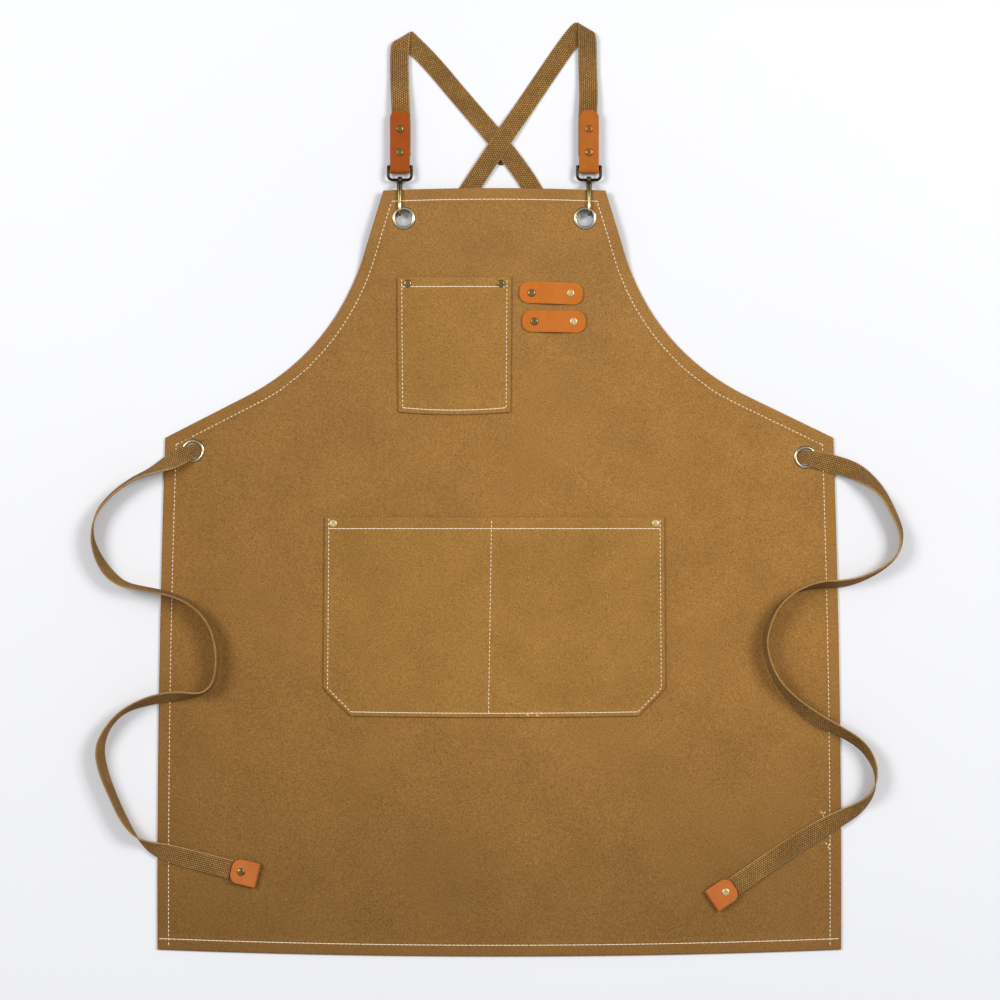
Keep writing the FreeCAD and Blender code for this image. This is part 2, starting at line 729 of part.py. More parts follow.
def edge_stretch(points, low):
    """Webbing standing on its edge along straight runs joined by tangent arcs."""
    width, thick = size("strap_width"), size("strap")
    points = [Vector(x, y, 0) for x, y in points]
    edges, radii = [], []
    last = points[0]
    for before, corner, after in zip(points, points[1:], points[2:]):
        back, on = before - corner, after - corner
        reach = ARC_SHARE * min(back.Length, on.Length)
        back.normalize()
        on.normalize()
        half_turn = (math.pi - back.getAngle(on)) / 2
        radii.append(reach / math.tan(half_turn))
        into, out = corner + back * reach, corner + on * reach
        inward = (back + on).normalize()
        middle = corner + inward * (radii[-1] / math.cos(half_turn) - radii[-1])
        edges += [Part.makeLine(last, into), Part.Arc(into, middle, out).toShape()]
        last = out
    edges.append(Part.makeLine(last, points[-1]))
    path = Part.Wire(edges)
    along = (points[1] - points[0]).normalize()
    across = Vector(-along.y, along.x, 0) * (thick / 2)
    corners = [points[0] + across, points[0] - across]
    section = Part.makePolygon(
        corners + [p + Vector(0, 0, width) for p in reversed(corners)] + corners[:1]
    )
    solid = path.makePipeShell([section], True, False)
    print("standing webbing: radii", [round(r, 1) for r in radii],
          "volume share", round(solid.Volume / (path.Length * width * thick), 4))
    solid.translate(Vector(0, 0, low))
    return [solid]


def riser(x, y, turn, high):
    """The narrow, cupped piece of webbing inside a side eyelet."""
    deep, wide = size("cupped_depth"), size("cupped_width")
    corner = Vector(-deep / 2, -wide / 2, size("floor_gap"))
    solid = Part.makeBox(deep, wide, high - size("floor_gap"), corner)
    solid.Placement = Placement(Vector(x, y, 0), Rotation(Vector(0, 0, 1), turn)).multiply(
        solid.Placement
    )
    return solid


floor = size("floor_gap")
on_cloth = cloth_top + size("floor_gap")
on_rim = cloth_top + size("eyelet_rim") + size("floor_gap")
in_tab = hook_z - size("strap") / 2
under_cross = size("floor_gap") + size("keeper") + size("layer_gap")
over_cross = under_cross + size("strap") + size("keeper_room")
in_end_tab = cloth_top + floor + size("rivet_back") + size("layer_gap") + size("end_tab_leather")

LEFT_RISE = [(-102, 400), (-102, 499)]
LEFT_DIAGONAL = [(-98, 513), (5, 396), (34, 354), (68, 292), (105, 218), (160, 150), (235, 100),
                 (315, 78)]
RIGHT_TAIL_RIM = [(315, 78), (343, 71), (362, 65)]
RIGHT_TAIL_FLOOR = [(355, 68), (377, 56), (392, 42), (403, 21), (412, 0), (408, -22), (390, -37),
                    (368, -47), (349, -51)]
RIGHT_TAIL_CLOTH = [(350, -51), (327, -51), (303, -58), (285, -72), (275, -90), (270, -110),
                    (274, -130), (283, -151), (299, -170), (321, -188), (355, -205)]
RIGHT_TAIL_BEND = [(352, -203), (366, -212), (379, -226), (386, -246), (382, -265), (369, -279),
                   (356, -286)]
RIGHT_TAIL_END = [(360, -284), (319, -307), (240, -360)]
RIGHT_RISE = [(91, 400), (90, 500)]
RIGHT_DIAGONAL = [(85, 520), (-2, 397), (-27, 355), (-76, 296), (-132, 220), (-185, 150),
                  (-245, 106), (-313, 85)]
LEFT_TAIL_RIM = [(-313, 85), (-337, 73), (-356, 64)]
LEFT_TAIL_FLOOR = [(-349, 68), (-375, 56), (-396, 41), (-412, 22), (-417, 0), (-411, -22),
                   (-399, -41), (-384, -52), (-353, -58)]
LEFT_TAIL_CLOTH = [(-355, -57), (-325, -65), (-307, -76), (-294, -93), (-288, -114), (-287, -134),
                   (-290, -153), (-303, -164), (-328, -165), (-355, -169)]
LEFT_TAIL_BEND = [(-352, -168), (-384, -180), (-401, -198), (-409, -219), (-405, -242),
                  (-395, -267), (-384, -291), (-371, -310), (-357, -319)]
LEFT_TAIL_END = [(-361, -318), (-319, -332), (-274, -343)]


def strap_shape(rise, diagonal, over, rim, floor_run, cloth_run, bend, end):
    """One strap: tab, fold, crossing, side eyelet, tail and end tab."""
    cross = math.dist(diagonal[0], diagonal[1])
    total = cross + sum(math.dist(a, b) for a, b in zip(diagonal[1:], diagonal[2:]))
    solids = flat_stretch(rise, [(0, in_tab), (TAB_RUN, in_tab), (TAB_END, floor), (PAST_END, floor)])
    solids.append(Part.makeCylinder(size("strap_width") / 2, size("strap"), Vector(*rise[1], floor)))
    fold = math.dist(rise[1], diagonal[0])
    solids += flat_stretch([rise[1], diagonal[0]], [(0, floor), (fold, floor)])
    solids.append(
        Part.makeCylinder(size("strap_width") / 2, size("strap"), Vector(*diagonal[0], floor))
    )
    solids += flat_stretch(
        diagonal,
        [(0, floor), (cross - HUMP_END, floor), (cross - HUMP, over), (cross + HUMP, over),
         (cross + HUMP_END, floor), (total, floor)],
    )
    turn = math.degrees(math.atan2(rim[1][1] - rim[0][1], rim[1][0] - rim[0][0]))
    solids.append(riser(*rim[0], turn, on_rim + size("strap")))
    solids += flat_stretch(
        rim, [(0, on_rim), (RIM_RUN, on_rim), (RIM_END, floor), (PAST_END, floor)]
    )
    solids += edge_stretch(floor_run, floor)
    solids += edge_stretch(cloth_run, on_cloth)
    solids += edge_stretch(bend, floor)
    last = sum(math.dist(a, b) for a, b in zip(end, end[1:]))
    solids += flat_stretch(end, [(0, on_cloth), (last - END_RISE, on_cloth),
                                 (last - END_LEVEL, in_end_tab), (last + 1, in_end_tab)])
    whole = solids[0].multiFuse(solids[1:]).removeSplitter()
    return whole


left_strap = strap_shape(LEFT_RISE, LEFT_DIAGONAL, under_cross, RIGHT_TAIL_RIM, RIGHT_TAIL_FLOOR,
                         RIGHT_TAIL_CLOTH, RIGHT_TAIL_BEND, RIGHT_TAIL_END)
right_strap = strap_shape(RIGHT_RISE, RIGHT_DIAGONAL, over_cross, LEFT_TAIL_RIM, LEFT_TAIL_FLOOR,
                          LEFT_TAIL_CLOTH, LEFT_TAIL_BEND, LEFT_TAIL_END)

# ---------------------------------------------------------------- leather end tabs
END_TABS = {
    "right": (LEFT_TAIL_END, "left"),
    "left": (RIGHT_TAIL_END, "right"),
}
strap_blanks = {"left": feature("left_strap_blank", left_strap),
                "right": feature("right_strap_blank", right_strap)}
for strap_side, (end, side) in END_TABS.items():
    (x0, y0), (x1, y1) = end[-2:]
    turn = math.degrees(math.atan2(y1 - y0, x1 - x0))
    name = side + "_end_tab"
    under = f"({CLOTH_TOP} + floor_gap + rivet_back + layer_gap)"
    thick = "(2 * end_tab_leather + strap)"
    outer = block(name + "_leather", ("0", "-end_tab_width / 2", under),
                  "end_tab_length", "end_tab_width", thick)
    doc.recompute()
    rounds = [
        (i + 1, size("end_tab_round"), size("end_tab_round"))
        for i, edge in enumerate(outer.Shape.Edges)
        if edge.BoundBox.XMax < 1e-6 and edge.BoundBox.ZLength > 1
    ]
    leather = doc.addObject("Part::Fillet", name + "_rounded")
    leather.Base = outer
    leather.Edges = rounds
    slot = block(name + "_slot",
                 (f"-{SUNK}", "-strap_width / 2 - end_tab_play", f"{under} + end_tab_leather"),
                 "end_tab_length - end_tab_web", "strap_width + 2 * end_tab_play", "strap")
    places = [("end_rivet_inset", "0", f"{under} + {thick}", under)]
    tab = cut(name + "_local", leather, slot, *post_holes(name, places))
    rivets(name, places)
    place = Placement(Vector(x1, y1, 0), Rotation(Vector(0, 0, 1), turn))
    for node, local in (
        (name, tab),
        (name + "_rivets", nodes[name + "_rivets"]),
        (name + "_rivet_backs", nodes[name + "_rivet_backs"]),
    ):
        local.Label = node + "_local"
        moved = group(node + "_placed", local)
        moved.Placement = place
        nodes[node] = moved
    # the strap's own end inside the tab, bored for the rivet
    tongue = block(name + "_tongue",
                   (f"-{SUNK} / 2", "-strap_width / 2", f"{under} + end_tab_leather"),
                   "end_tab_length - 2 * end_tab_web", "strap_width", "strap")
    tongue_bore = rod(name + "_tongue_bore", ("end_rivet_inset", "0", "0"),
                      "rivet_post_radius + rivet_fit", TALL)
    tongue_placed = group(name + "_tongue_placed", cut(name + "_tongue_cut", tongue, tongue_bore))
    tongue_placed.Placement = place
    joined = fuse(strap_side + "_strap_joined", strap_blanks[strap_side], tongue_placed)
    sign = dict(SIDES)[strap_side]
    drills = post_holes(
        strap_side + "_strap",
        [
            (f"bib_lean + {sign} * tab_spread",
             f"{BIB_Y} + tab_top - tab_rivet_first - {i} * tab_rivet_pitch", "0", "0")
            for i in range(2)
        ],
    )
    nodes[strap_side + "_strap"] = cut(strap_side + "_strap", joined, *drills)

# ---------------------------------------------------------------- keeper at the crossing
cross_x, cross_y = RIGHT_DIAGONAL[1]
turn = math.degrees(
    math.atan2(cross_y - RIGHT_DIAGONAL[0][1], cross_x - RIGHT_DIAGONAL[0][0])
)
seam = "keeper_seam"
plate = block("keeper_plate", ("-keeper_length / 2", "-strap_width / 2", "floor_gap"),
              "keeper_length", "strap_width", "keeper")
ends = [
    block(f"keeper_end_{i}", (x, "-strap_width / 2", "floor_gap"), seam, "strap_width",
          "keeper + strap + keeper_room")
    for i, x in enumerate(("-keeper_length / 2", f"keeper_length / 2 - {seam}"))
]
nodes["strap_keeper"] = group("keeper_placed", fuse("keeper_solid", plate, *ends))
nodes["strap_keeper"].Placement = Placement(
    Vector(cross_x + size("keeper_shift"), cross_y, 0), Rotation(Vector(0, 0, 1), turn)
)

# ---------------------------------------------------------------- checks and export
for name, piece in nodes.items():
    piece.Label = name
doc.recompute()
for piece in doc.Objects:
    if {"Invalid", "Error"} & set(piece.State):
        raise RuntimeError(f"{piece.Name} failed: {piece.State}")
for name, piece in nodes.items():
    if piece.Shape.isNull() or not piece.Shape.isValid() or not piece.Shape.Solids:
        raise RuntimeError(f"{name} has no valid solid")
for name, piece in nodes.items():
    piece.Shape.exportStep(f"parts/{name}.step")
print(len(nodes), "nodes")
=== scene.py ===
"""A cross-back work apron in waxed canvas, laid flat.

Its webbing straps cross behind the bib. Its tabs and tool loops are leather, its hooks and eyelets brass.
"""

import math

import bmesh
import bpy
from mathutils import Matrix, Vector, noise


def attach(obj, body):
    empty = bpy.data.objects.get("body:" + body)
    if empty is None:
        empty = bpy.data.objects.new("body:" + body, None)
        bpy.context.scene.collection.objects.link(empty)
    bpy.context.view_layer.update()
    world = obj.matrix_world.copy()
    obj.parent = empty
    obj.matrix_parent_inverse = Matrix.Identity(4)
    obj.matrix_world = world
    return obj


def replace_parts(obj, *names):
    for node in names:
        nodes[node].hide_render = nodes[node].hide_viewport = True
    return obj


MM = 0.001

# The frame that every piece is built around.
# Its box is the space that the finished apron has to keep to.
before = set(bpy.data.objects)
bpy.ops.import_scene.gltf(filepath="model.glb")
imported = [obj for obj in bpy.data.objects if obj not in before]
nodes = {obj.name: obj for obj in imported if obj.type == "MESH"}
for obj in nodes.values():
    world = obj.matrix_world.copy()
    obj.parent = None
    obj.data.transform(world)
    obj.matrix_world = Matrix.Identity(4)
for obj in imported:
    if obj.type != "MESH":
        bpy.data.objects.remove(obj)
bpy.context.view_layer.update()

# The camera hangs straight above the apron, as over a studio table.
# A long lens keeps the edges of the cloth square to the eye.
LENS, SENSOR = 100, 36
SEEN_WIDTH = 1.0234
CAMERA_X, CAMERA_Y, CLOTH_FACE = 0.0007, 0.0346, 0.003
camera_data = bpy.data.cameras.new("overhead_camera")
camera_data.lens = LENS
camera_data.sensor_width = SENSOR
camera = bpy.data.objects.new("overhead_camera", camera_data)
camera.location = (CAMERA_X, CAMERA_Y, SEEN_WIDTH * LENS / SENSOR + CLOTH_FACE)
bpy.context.scene.collection.objects.link(camera)
bpy.context.scene.camera = camera

# The two straps: each is a length of flat cotton webbing, 19 mm wide, woven with small paired loops.
# It leaves a hook tab, folds over, crosses the other strap, runs under the cloth and out through a side
# eyelet, and its tail stands on edge in loose bends down to a leather end tab.
STRAP_WIDTH, STRAP_THICK = 19.0, 1.3
# Past this share of its width the webbing is painted paler, a painted highlight where its edge catches the
# light.
# The weave of its underside starts further on.
EDGE_HIGHLIGHT_SHARE, UNDERSIDE_SHIFT = 0.45, 50
WEBBING_SECTION = ((-9.5, 0), (-9.3, 0.6), (-8.7, 0.85), (-7, 0.65), (-3, 0.6), (0, 0.62), (3, 0.6),
                   (7, 0.65), (8.7, 0.85), (9.3, 0.6), (9.5, 0), (9.3, -0.6), (8.7, -0.85), (7, -0.65),
                   (3, -0.6), (0, -0.62), (-3, -0.6), (-7, -0.65), (-8.7, -0.85), (-9.3, -0.6))
# Each point: x, y, the height it rests at, how far the webbing leans (0 flat, 90 on edge), and where a
# fold or an eyelet needs it, the plan angle of its edge and its share of the full width.
LEFT_STRAP_ROUTE = (
    (-100.3, 386, 6.05, 0, 0), (-100.2, 405, 6.05, 0, 0), (-100.3, 424, 6.05, 0, 0),
    (-101.0, 440, 5.8, 0, 0), (-101.8, 455, 4.0, 0, 0), (-102.2, 472, 2.8, 0, -2),
    (-102.4, 487, 3.0, 0, -6), (-101.4, 502, 3.4, 0, 6), (-98.6, 510.6, 1.7, 0, 34),
    (-93.0, 505.5, 0.1, 0, 42), (-71, 484, 0.1, 0), (-45, 453, 0.1, 0), (-22, 426, 0.4, 0),
    (-8, 410, 1.05, 0), (16, 380, 1.05, 0), (34, 354, 0.5, 0), (68, 292, 0.1, 0), (105, 218, 0.1, 0),
    (160, 150, 0.1, 0), (235, 100, 0.1, 0), (292, 83, 0.1, 0), (304, 80.5, 0.1, 0, None, 0.84),
    (310, 79.3, 0.3, 0, None, 0.76), (314.5, 78.2, 2.2, 0, None, 0.76), (319, 77.4, 4.2, 0, None, 0.82),
    (326, 75.8, 4.5, 0, None, 0.95), (343, 71, 3.6, 0), (362, 65, 2.6, -10), (377, 56, 1.0, -42),
    (392, 42, 0.2, -63), (403, 21, 0.1, -66), (412, 0, 0.1, -73), (408, -22, 0.1, -82),
    (390, -37, 0.1, -78), (368, -47, 0.6, -72), (349, -51, 2.6, -66), (327, -51, 3.2, -68),
    (303, -58, 3.1, -84), (285, -72, 3.1, -91), (275, -90, 3.1, -99), (270, -110, 3.1, -101),
    (274, -130, 3.1, -101), (283, -151, 3.1, -107), (299, -170, 3.1, -120), (321, -188, 3.1, -136),
    (345, -200, 2.9, -124), (366, -212, 1.2, -119), (379, -226, 0.1, -110), (386, -246, 0.1, -90),
    (382, -265, 0.1, -72), (369, -279, 0.6, -48), (352, -288.5, 3.2, -22), (319, -307, 3.4, 0),
    (280, -333, 3.5, 0), (258, -348, 4.6, 0), (238, -361.5, 5.4, 0),
)
RIGHT_STRAP_ROUTE = (
    (90.3, 386, 6.05, 0, 0), (90.2, 405, 6.05, 0, 0), (90.3, 424, 6.05, 0, 0), (91.0, 440, 5.8, 0, 0),
    (91.2, 455, 4.0, 0, 0), (90.6, 472, 2.8, 0, 2), (90.2, 492, 3.0, 0, 2), (90.0, 510, 3.4, 0, -12),
    (88.8, 519.8, 1.7, 0, -33), (80.4, 515.2, 0.1, 0, -40), (61.8, 490, 0.1, 0), (42.5, 461.5, 0.1, 0),
    (23.3, 433, 0.6, 0), (10.2, 414, 2.4, 0), (-12, 380.8, 2.4, 0), (-28.2, 356.5, 1.2, 0),
    (-48, 326, 0.1, 0), (-76, 296, 0.1, 0), (-132, 220, 0.1, 0), (-185, 150, 0.1, 0),
    (-245, 106, 0.1, 0), (-290, 91, 0.1, 0), (-303, 87.5, 0.1, 0, None, 0.84),
    (-309, 86, 0.3, 0, None, 0.76), (-313.5, 84.8, 2.2, 3, None, 0.76), (-318, 83, 4.2, 8, None, 0.82),
    (-325, 79.5, 4.5, 15, None, 0.95), (-337, 73, 3.5, 32), (-349, 67.5, 2.2, 60), (-360, 62.5, 0.6, 74),
    (-375, 56, 0.1, 78), (-396, 41, 0.1, 78), (-412, 22, 0.1, 79), (-417, 0, 0.1, 86),
    (-411, -22, 0.1, 104), (-399, -41, 0.1, 115), (-384, -52, 0.3, 104), (-365, -55.5, 1.2, 98),
    (-345, -59, 3.0, 98), (-325, -65, 3.1, 96), (-307, -76, 3.1, 96), (-294, -93, 3.1, 95),
    (-288, -114, 3.1, 95), (-287, -134, 3.1, 96), (-290, -153, 3.1, 100), (-303, -164, 3.1, 94),
    (-328, -165, 3.1, 124), (-355, -169, 2.8, 122), (-384, -180, 0.3, 101), (-401, -198, 0.1, 100),
    (-409, -219, 0.1, 112), (-405, -242, 0.1, 111), (-395, -267, 0.1, 104), (-384, -291, 0.1, 104),
    (-371, -310, 0.3, 86), (-356, -320, 1.9, 45), (-341, -325.5, 3.2, 15), (-319, -332, 3.4, 0),
    (-296, -337.5, 4.2, 0), (-274, -343, 5.4, 0),
)


def curve_line(name, points):
    """Points along the smooth spline that the given points steer."""
    curve = bpy.data.curves.new(name, "CURVE")
    curve.dimensions = "3D"
    curve.resolution_u = 9
    spline = curve.splines.new("NURBS")
    spline.points.add(len(points) - 1)
    for knot, point in zip(spline.points, points):
        knot.co = (*point, 1)
    spline.order_u = 3
    spline.use_endpoint_u = True
    holder = bpy.data.objects.new(name, curve)
    mesh = bpy.data.meshes.new_from_object(holder)
    line = [v.co.copy() for v in mesh.vertices]
    bpy.data.objects.remove(holder)
    bpy.data.curves.remove(curve)
    bpy.data.meshes.remove(mesh)
    return line


def finish_mesh(name, bm, materials, body="apron"):
    """The bmesh becomes an object of that name, which rides on that body."""
    mesh = bpy.data.meshes.new(name)
    bm.to_mesh(mesh)
    bm.free()
    for face in mesh.polygons:
        face.use_smooth = True
    for material in materials:
        mesh.materials.append(material)
    piece = bpy.data.objects.new(name, mesh)
    bpy.context.scene.collection.objects.link(piece)
    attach(piece, body)
    return piece


def lay_webbing(name, route, section, materials):
    """A woven band along the route. Its own UV map runs in millimetres, across and along."""
    middle, edge = [], []
    for i, (x, y, rest, lean, *more) in enumerate(route):
        before, after = route[max(i - 1, 0)], route[min(i + 1, len(route) - 1)]
        turn = more[0] if more else None
        share = more[1] if len(more) > 1 else 1
        angle = math.atan2(after[1] - before[1], after[0] - before[0]) + math.pi / 2
        if turn is not None:
            angle = math.radians(turn)
        tilt = math.radians(lean)
        height = rest + abs(math.sin(tilt)) * STRAP_WIDTH / 2 + STRAP_THICK / 2
        centre = Vector((x, y, height)) * MM
        level = math.cos(tilt)
        across = Vector((math.cos(angle) * level, math.sin(angle) * level, math.sin(tilt)))
        middle.append(centre)
        edge.append(centre + across * share * STRAP_WIDTH / 2 * MM)
    middle, edge = curve_line(name + "_middle", middle), curve_line(name + "_edge", edge)
    count, around = len(middle), len(section)
    along = [0.0]
    for here, there in zip(middle, middle[1:]):
        along.append(along[-1] + (there - here).length / MM)
    bm = bmesh.new()
    bmesh.ops.create_grid(bm, x_segments=around, y_segments=count - 1, size=1)
    uv = bm.loops.layers.uv.new("weave")
    place = {v: (round((v.co.x + 1) / 2 * around), round((v.co.y + 1) / 2 * (count - 1)))
             for v in bm.verts}
    for face in bm.faces:
        for loop in face.loops:
            i, j = place[loop.vert]
            shift = 0 if i <= around // 2 else UNDERSIDE_SHIFT
            loop[uv].uv = (section[i % around][0] + shift, along[j])
        # Faces past the edge share take the second material: on the straps, the painted edge highlight.
        sides = [abs(section[place[v][0] % around][0]) for v in face.verts]
        face.material_index = int(min(sides) > STRAP_WIDTH * EDGE_HIGHLIGHT_SHARE)
    for v, (i, j) in place.items():
        forward = (middle[min(j + 1, count - 1)] - middle[max(j - 1, 0)]).normalized()
        across = (edge[j] - middle[j]) / (STRAP_WIDTH / 2 * MM)
        up = forward.cross(across).normalized()
        side, rise = section[i % around]
        v.co = middle[j] + (across * side + up * rise) * MM
    bmesh.ops.remove_doubles(bm, verts=bm.verts, dist=1e-6)
    bmesh.ops.holes_fill(bm, edges=[e for e in bm.edges if e.is_boundary], sides=0)
    bmesh.ops.recalc_face_normals(bm, faces=bm.faces)
    return finish_mesh(name, bm, materials), middle


def linear(code):
    """A colour written as sRGB hex, in linear light."""
    parts = [int(code[i:i + 2], 16) / 255 for i in (0, 2, 4)]
    return tuple(c / 12.92 if c <= 0.04045 else ((c + 0.055) / 1.055) ** 2.4 for c in parts) + (1.0,)


def add(tree, kind, inputs=(), **settings):
    """Adds a node. Each named or numbered input gets a value, a hex colour or another node's socket."""
    node = tree.nodes.new(kind)
    for name, value in settings.items():
        setattr(node, name, value)
    for socket, value in dict(inputs).items():
        if isinstance(value, bpy.types.NodeSocket):
            tree.links.new(value, node.inputs[socket])
        else:
            node.inputs[socket].default_value = linear(value) if isinstance(value, str) else value
    return node


def new_material(name, inputs):
    """A material with its shader's own values set, and the tree to add its pattern to."""
    material = bpy.data.materials.new(name)
    material.use_nodes = True
    shader = material.node_tree.nodes["Principled BSDF"]
    for socket, value in inputs.items():
        shader.inputs[socket].default_value = value
    return material, material.node_tree, shader


def paint(tree, colour, layers):
    """Lays tones over a first colour. Each shows from least to most as its pattern runs low to high."""
    for pattern, low, high, least, most, tone in layers:
        share = add(tree, "ShaderNodeMapRange", {0: pattern, 1: low, 2: high, 3: least, 4: most})
        mix = add(tree, "ShaderNodeMix", {0: share.outputs[0], 6: colour, 7: tone}, data_type="RGBA")
        colour = mix.outputs[2]
    return colour


# Cotton webbing, shuttle woven: matt, a little lighter on the crown of each loop, dark between the loops.
# A loop is 2.5 mm long and 2 mm wide, and each row sits half a loop on from the last. Its edges are
# painted paler: a painted highlight where they catch the light.
LOOP_LONG, LOOP_WIDE, LOOP_GAP = 2.5, 2.05, 0.55


def webbing_material(name, shade, ridge):
    """Woven loops in two colours: the shade between them, and the ridge of their crowns."""
    material, tree, shader = new_material(name, {"Roughness": 0.85, "Sheen Weight": 0.05,
                                                 "Sheen Roughness": 0.5, "Specular IOR Level": 0.15})
    shader.inputs["Sheen Tint"].default_value = linear("C9A878")
    where = add(tree, "ShaderNodeUVMap", uv_map="weave")
    split = add(tree, "ShaderNodeSeparateXYZ", {0: where.outputs[0]})
    swap = add(tree, "ShaderNodeCombineXYZ", {0: split.outputs[1], 1: split.outputs[0]})
    loops = add(tree, "ShaderNodeTexBrick", {"Vector": swap.outputs[0], "Scale": 1.0,
                                             "Mortar Size": LOOP_GAP, "Mortar Smooth": 1.0,
                                             "Brick Width": LOOP_LONG, "Row Height": LOOP_WIDE,
                                             "Color1": (1, 1, 1, 1), "Color2": (0.6, 0.6, 0.6, 1),
                                             "Mortar": (0, 0, 0, 1)})
    place = add(tree, "ShaderNodeTexCoord").outputs["Object"]
    worn = add(tree, "ShaderNodeTexNoise", {"Vector": place, "Scale": 28.0, "Detail": 3.0})
    fuzz = add(tree, "ShaderNodeTexNoise", {"Vector": place, "Scale": 1400.0, "Detail": 2.0})
    aged = paint(tree, shade, ((loops.outputs["Color"], 0.0, 1.0, 0.0, 1.0, ridge),
                               (worn.outputs[0], 0.35, 0.65, 0.0, 0.35, shade)))
    fuzzy = add(tree, "ShaderNodeMapRange", {0: fuzz.outputs[0], 1: 0.3, 2: 0.7, 3: 0.0, 4: 0.35})
    grain = add(tree, "ShaderNodeMix", {0: fuzzy.outputs[0], 6: aged, 7: ridge}, data_type="RGBA",
                blend_type="SOFT_LIGHT")
    tree.links.new(grain.outputs[2], shader.inputs["Base Color"])
    bump = add(tree, "ShaderNodeBump", {"Strength": 0.9, "Distance": 0.0006,
                                        "Height": loops.outputs["Color"]})
    tree.links.new(bump.outputs[0], shader.inputs["Normal"])
    return material


webbing_cloth = webbing_material("woven_cotton_webbing", "4A351A", "B68C50")
# Paler webbing for the straps' edges: a painted highlight where they catch the light.
edge_highlight_webbing = webbing_material("webbing_edge_highlight", "7A5C36", "CDA972")
cloths = [webbing_cloth, edge_highlight_webbing]
left_strap, left_line = lay_webbing("left_strap_webbing", LEFT_STRAP_ROUTE, WEBBING_SECTION, cloths)
right_strap, right_line = lay_webbing("right_strap_webbing", RIGHT_STRAP_ROUTE, WEBBING_SECTION, cloths)
for piece, node in ((left_strap, "left_strap"), (right_strap, "right_strap")):
    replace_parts(piece, node)

# The keeper: a short sleeve of the same webbing, sewn under the right strap where the two straps cross.
# The left strap slides through it, and its rim shows as a thin dark line beside the right strap:
# its webbing is painted dark, a painted shadow cast by the right strap.
KEEPER_ROUTE = ((4.6, 401.2, 0.05, 0), (0.6, 394.7, 0.05, 0), (-3.1, 388.7, 0.05, 0),
                (-6.8, 382.6, 0.05, 0))
KEEPER_WIDER, KEEPER_THINNER, KEEPER_CUP = 1.14, 0.7, 0.9
KEEPER_SECTION = tuple(
    (side * KEEPER_WIDER, rise * KEEPER_THINNER + abs(side) ** 6 / (STRAP_WIDTH / 2) ** 6 * KEEPER_CUP)
    for side, rise in WEBBING_SECTION)
# Very dark webbing: painted shadow where the right strap shades the keeper.
keeper_shadow_cloth = webbing_material("keeper_painted_shadow_webbing", "35230D", "6B4D27")
keeper = lay_webbing("strap_keeper_sleeve", KEEPER_ROUTE, KEEPER_SECTION, [keeper_shadow_cloth] * 2)[0]
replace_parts(keeper, "strap_keeper")

# The apron's panel: one piece of waxed cotton canvas, cut to shape, with every edge turned under 13 mm.
# The bib is held up a little by the snap hooks, and the rest lies flat.
CLOTH_THICK = 0.9
FOLD_RISE = 1.0
HEM_WIDE, STITCH_INSET = 13.0, 11.5
HEM_Y, UNDERARM_Y, BIB_Y = -425.7, 98.3, 350.8
HEM_HALF, UNDERARM_HALF = 350.0, 342.0
HEM_BOW, BIB_BOW, SIDE_BOW = 7.0, 2.5, 2.5
BIB_HALF, BIB_MIDDLE, BIB_BOW_FROM = 113.5, -5.0, 200.0
ARMHOLE_CORNERS = {1: ((342, 98.3), (159, 186.7), (108.5, 350.8)),
                   -1: ((-342, 98.3), (-169, 186.7), (-118.5, 350.8))}
ARMHOLE_SOFTENING = (0.475, 0.62)
BIB_LIFT, BIB_LIFT_FROM, BIB_LIFT_TO = 6.6, 258.0, 312.0
HEM_DROP = 0.8
# Where the hem turns a corner at the underarm: how far its stations slant, and how soon that fades.
MITRE, MITRE_SPREAD, MITRE_REACH, MITRE_FADE = 0.63, 14.0, 60.0, 1.2
# The stitching pulls a groove in the cloth, with small puckers beside it. The middle lies in low waves.
GROOVE_DEEP, GROOVE_WIDE = 0.45, 1.0
PUCKER_HIGH, PUCKER_LONG, PUCKER_WIDE, PUCKER_DRIFT = 0.16, 1.9, 4.5, 30.0
WAVE_HIGH, WAVE_WIDE, WAVE_LONG, WAVE_SEED = 0.55, 95.0, 120.0, 3.7
UNDER_GAP = 0.05
# Close to its edges the panel has its own stations, this far in.
EDGE_BAND = 18.0
PANEL_ROWS_BELOW, PANEL_ROWS_ABOVE, PANEL_COLUMNS = 96, 62, 132


def step(value, low, high):
    """0 below low, 1 above high, smooth between."""
    share = min(max((value - low) / (high - low), 0.0), 1.0)
    return share * share * (3 - 2 * share)


def armhole_line(side):
    """Points down an armhole: two straights with a wide soft corner between them."""
    start, corner, end = (Vector(p) for p in ARMHOLE_CORNERS[side])
    leave, join = start.lerp(corner, ARMHOLE_SOFTENING[0]), corner.lerp(end, ARMHOLE_SOFTENING[1])
    shares = [k / 24 for k in range(25)]
    soft = [leave * (1 - t) ** 2 + corner * 2 * t * (1 - t) + join * t * t for t in shares]
    return [start, *soft, end]


ARMHOLES = {side: armhole_line(side) for side in (-1, 1)}


def along_line(line, y):
    """x of the line at height y, and its slope there. It runs on straight past its ends."""
    for a, b in zip(line, line[1:]):
        if y <= b.y or b is line[-1]:
            slope = (b.x - a.x) / (b.y - a.y)
            return a.x + slope * (y - a.y), slope


def panel_edge(side, y, upper):
    """x of the panel's left or right edge at height y, and how much a hem is widened by its slope."""
    if upper:
        x, slope = along_line(ARMHOLES[side], y)
        return x, math.hypot(1, slope)
    share = (y - HEM_Y) / (UNDERARM_Y - HEM_Y)
    half = HEM_HALF + (UNDERARM_HALF - HEM_HALF) * share + SIDE_BOW * 4 * share * (1 - share)
    return side * half, 1.0


def hem_stations(turned, inner):
    """Places across an edge: how far in from it, and whether the cloth is under (-1) or on top (1)."""
    wrap = CLOTH_THICK / 2 + FOLD_RISE
    under = [(turned, -1), (turned * 0.5, -1)]
    bend = [(wrap - math.cos(turn) * FOLD_RISE, math.sin(turn))
            for turn in (k * math.pi / 6 for k in range(-3, 4))]
    return under + bend + [(inset, 1) for inset in inner]


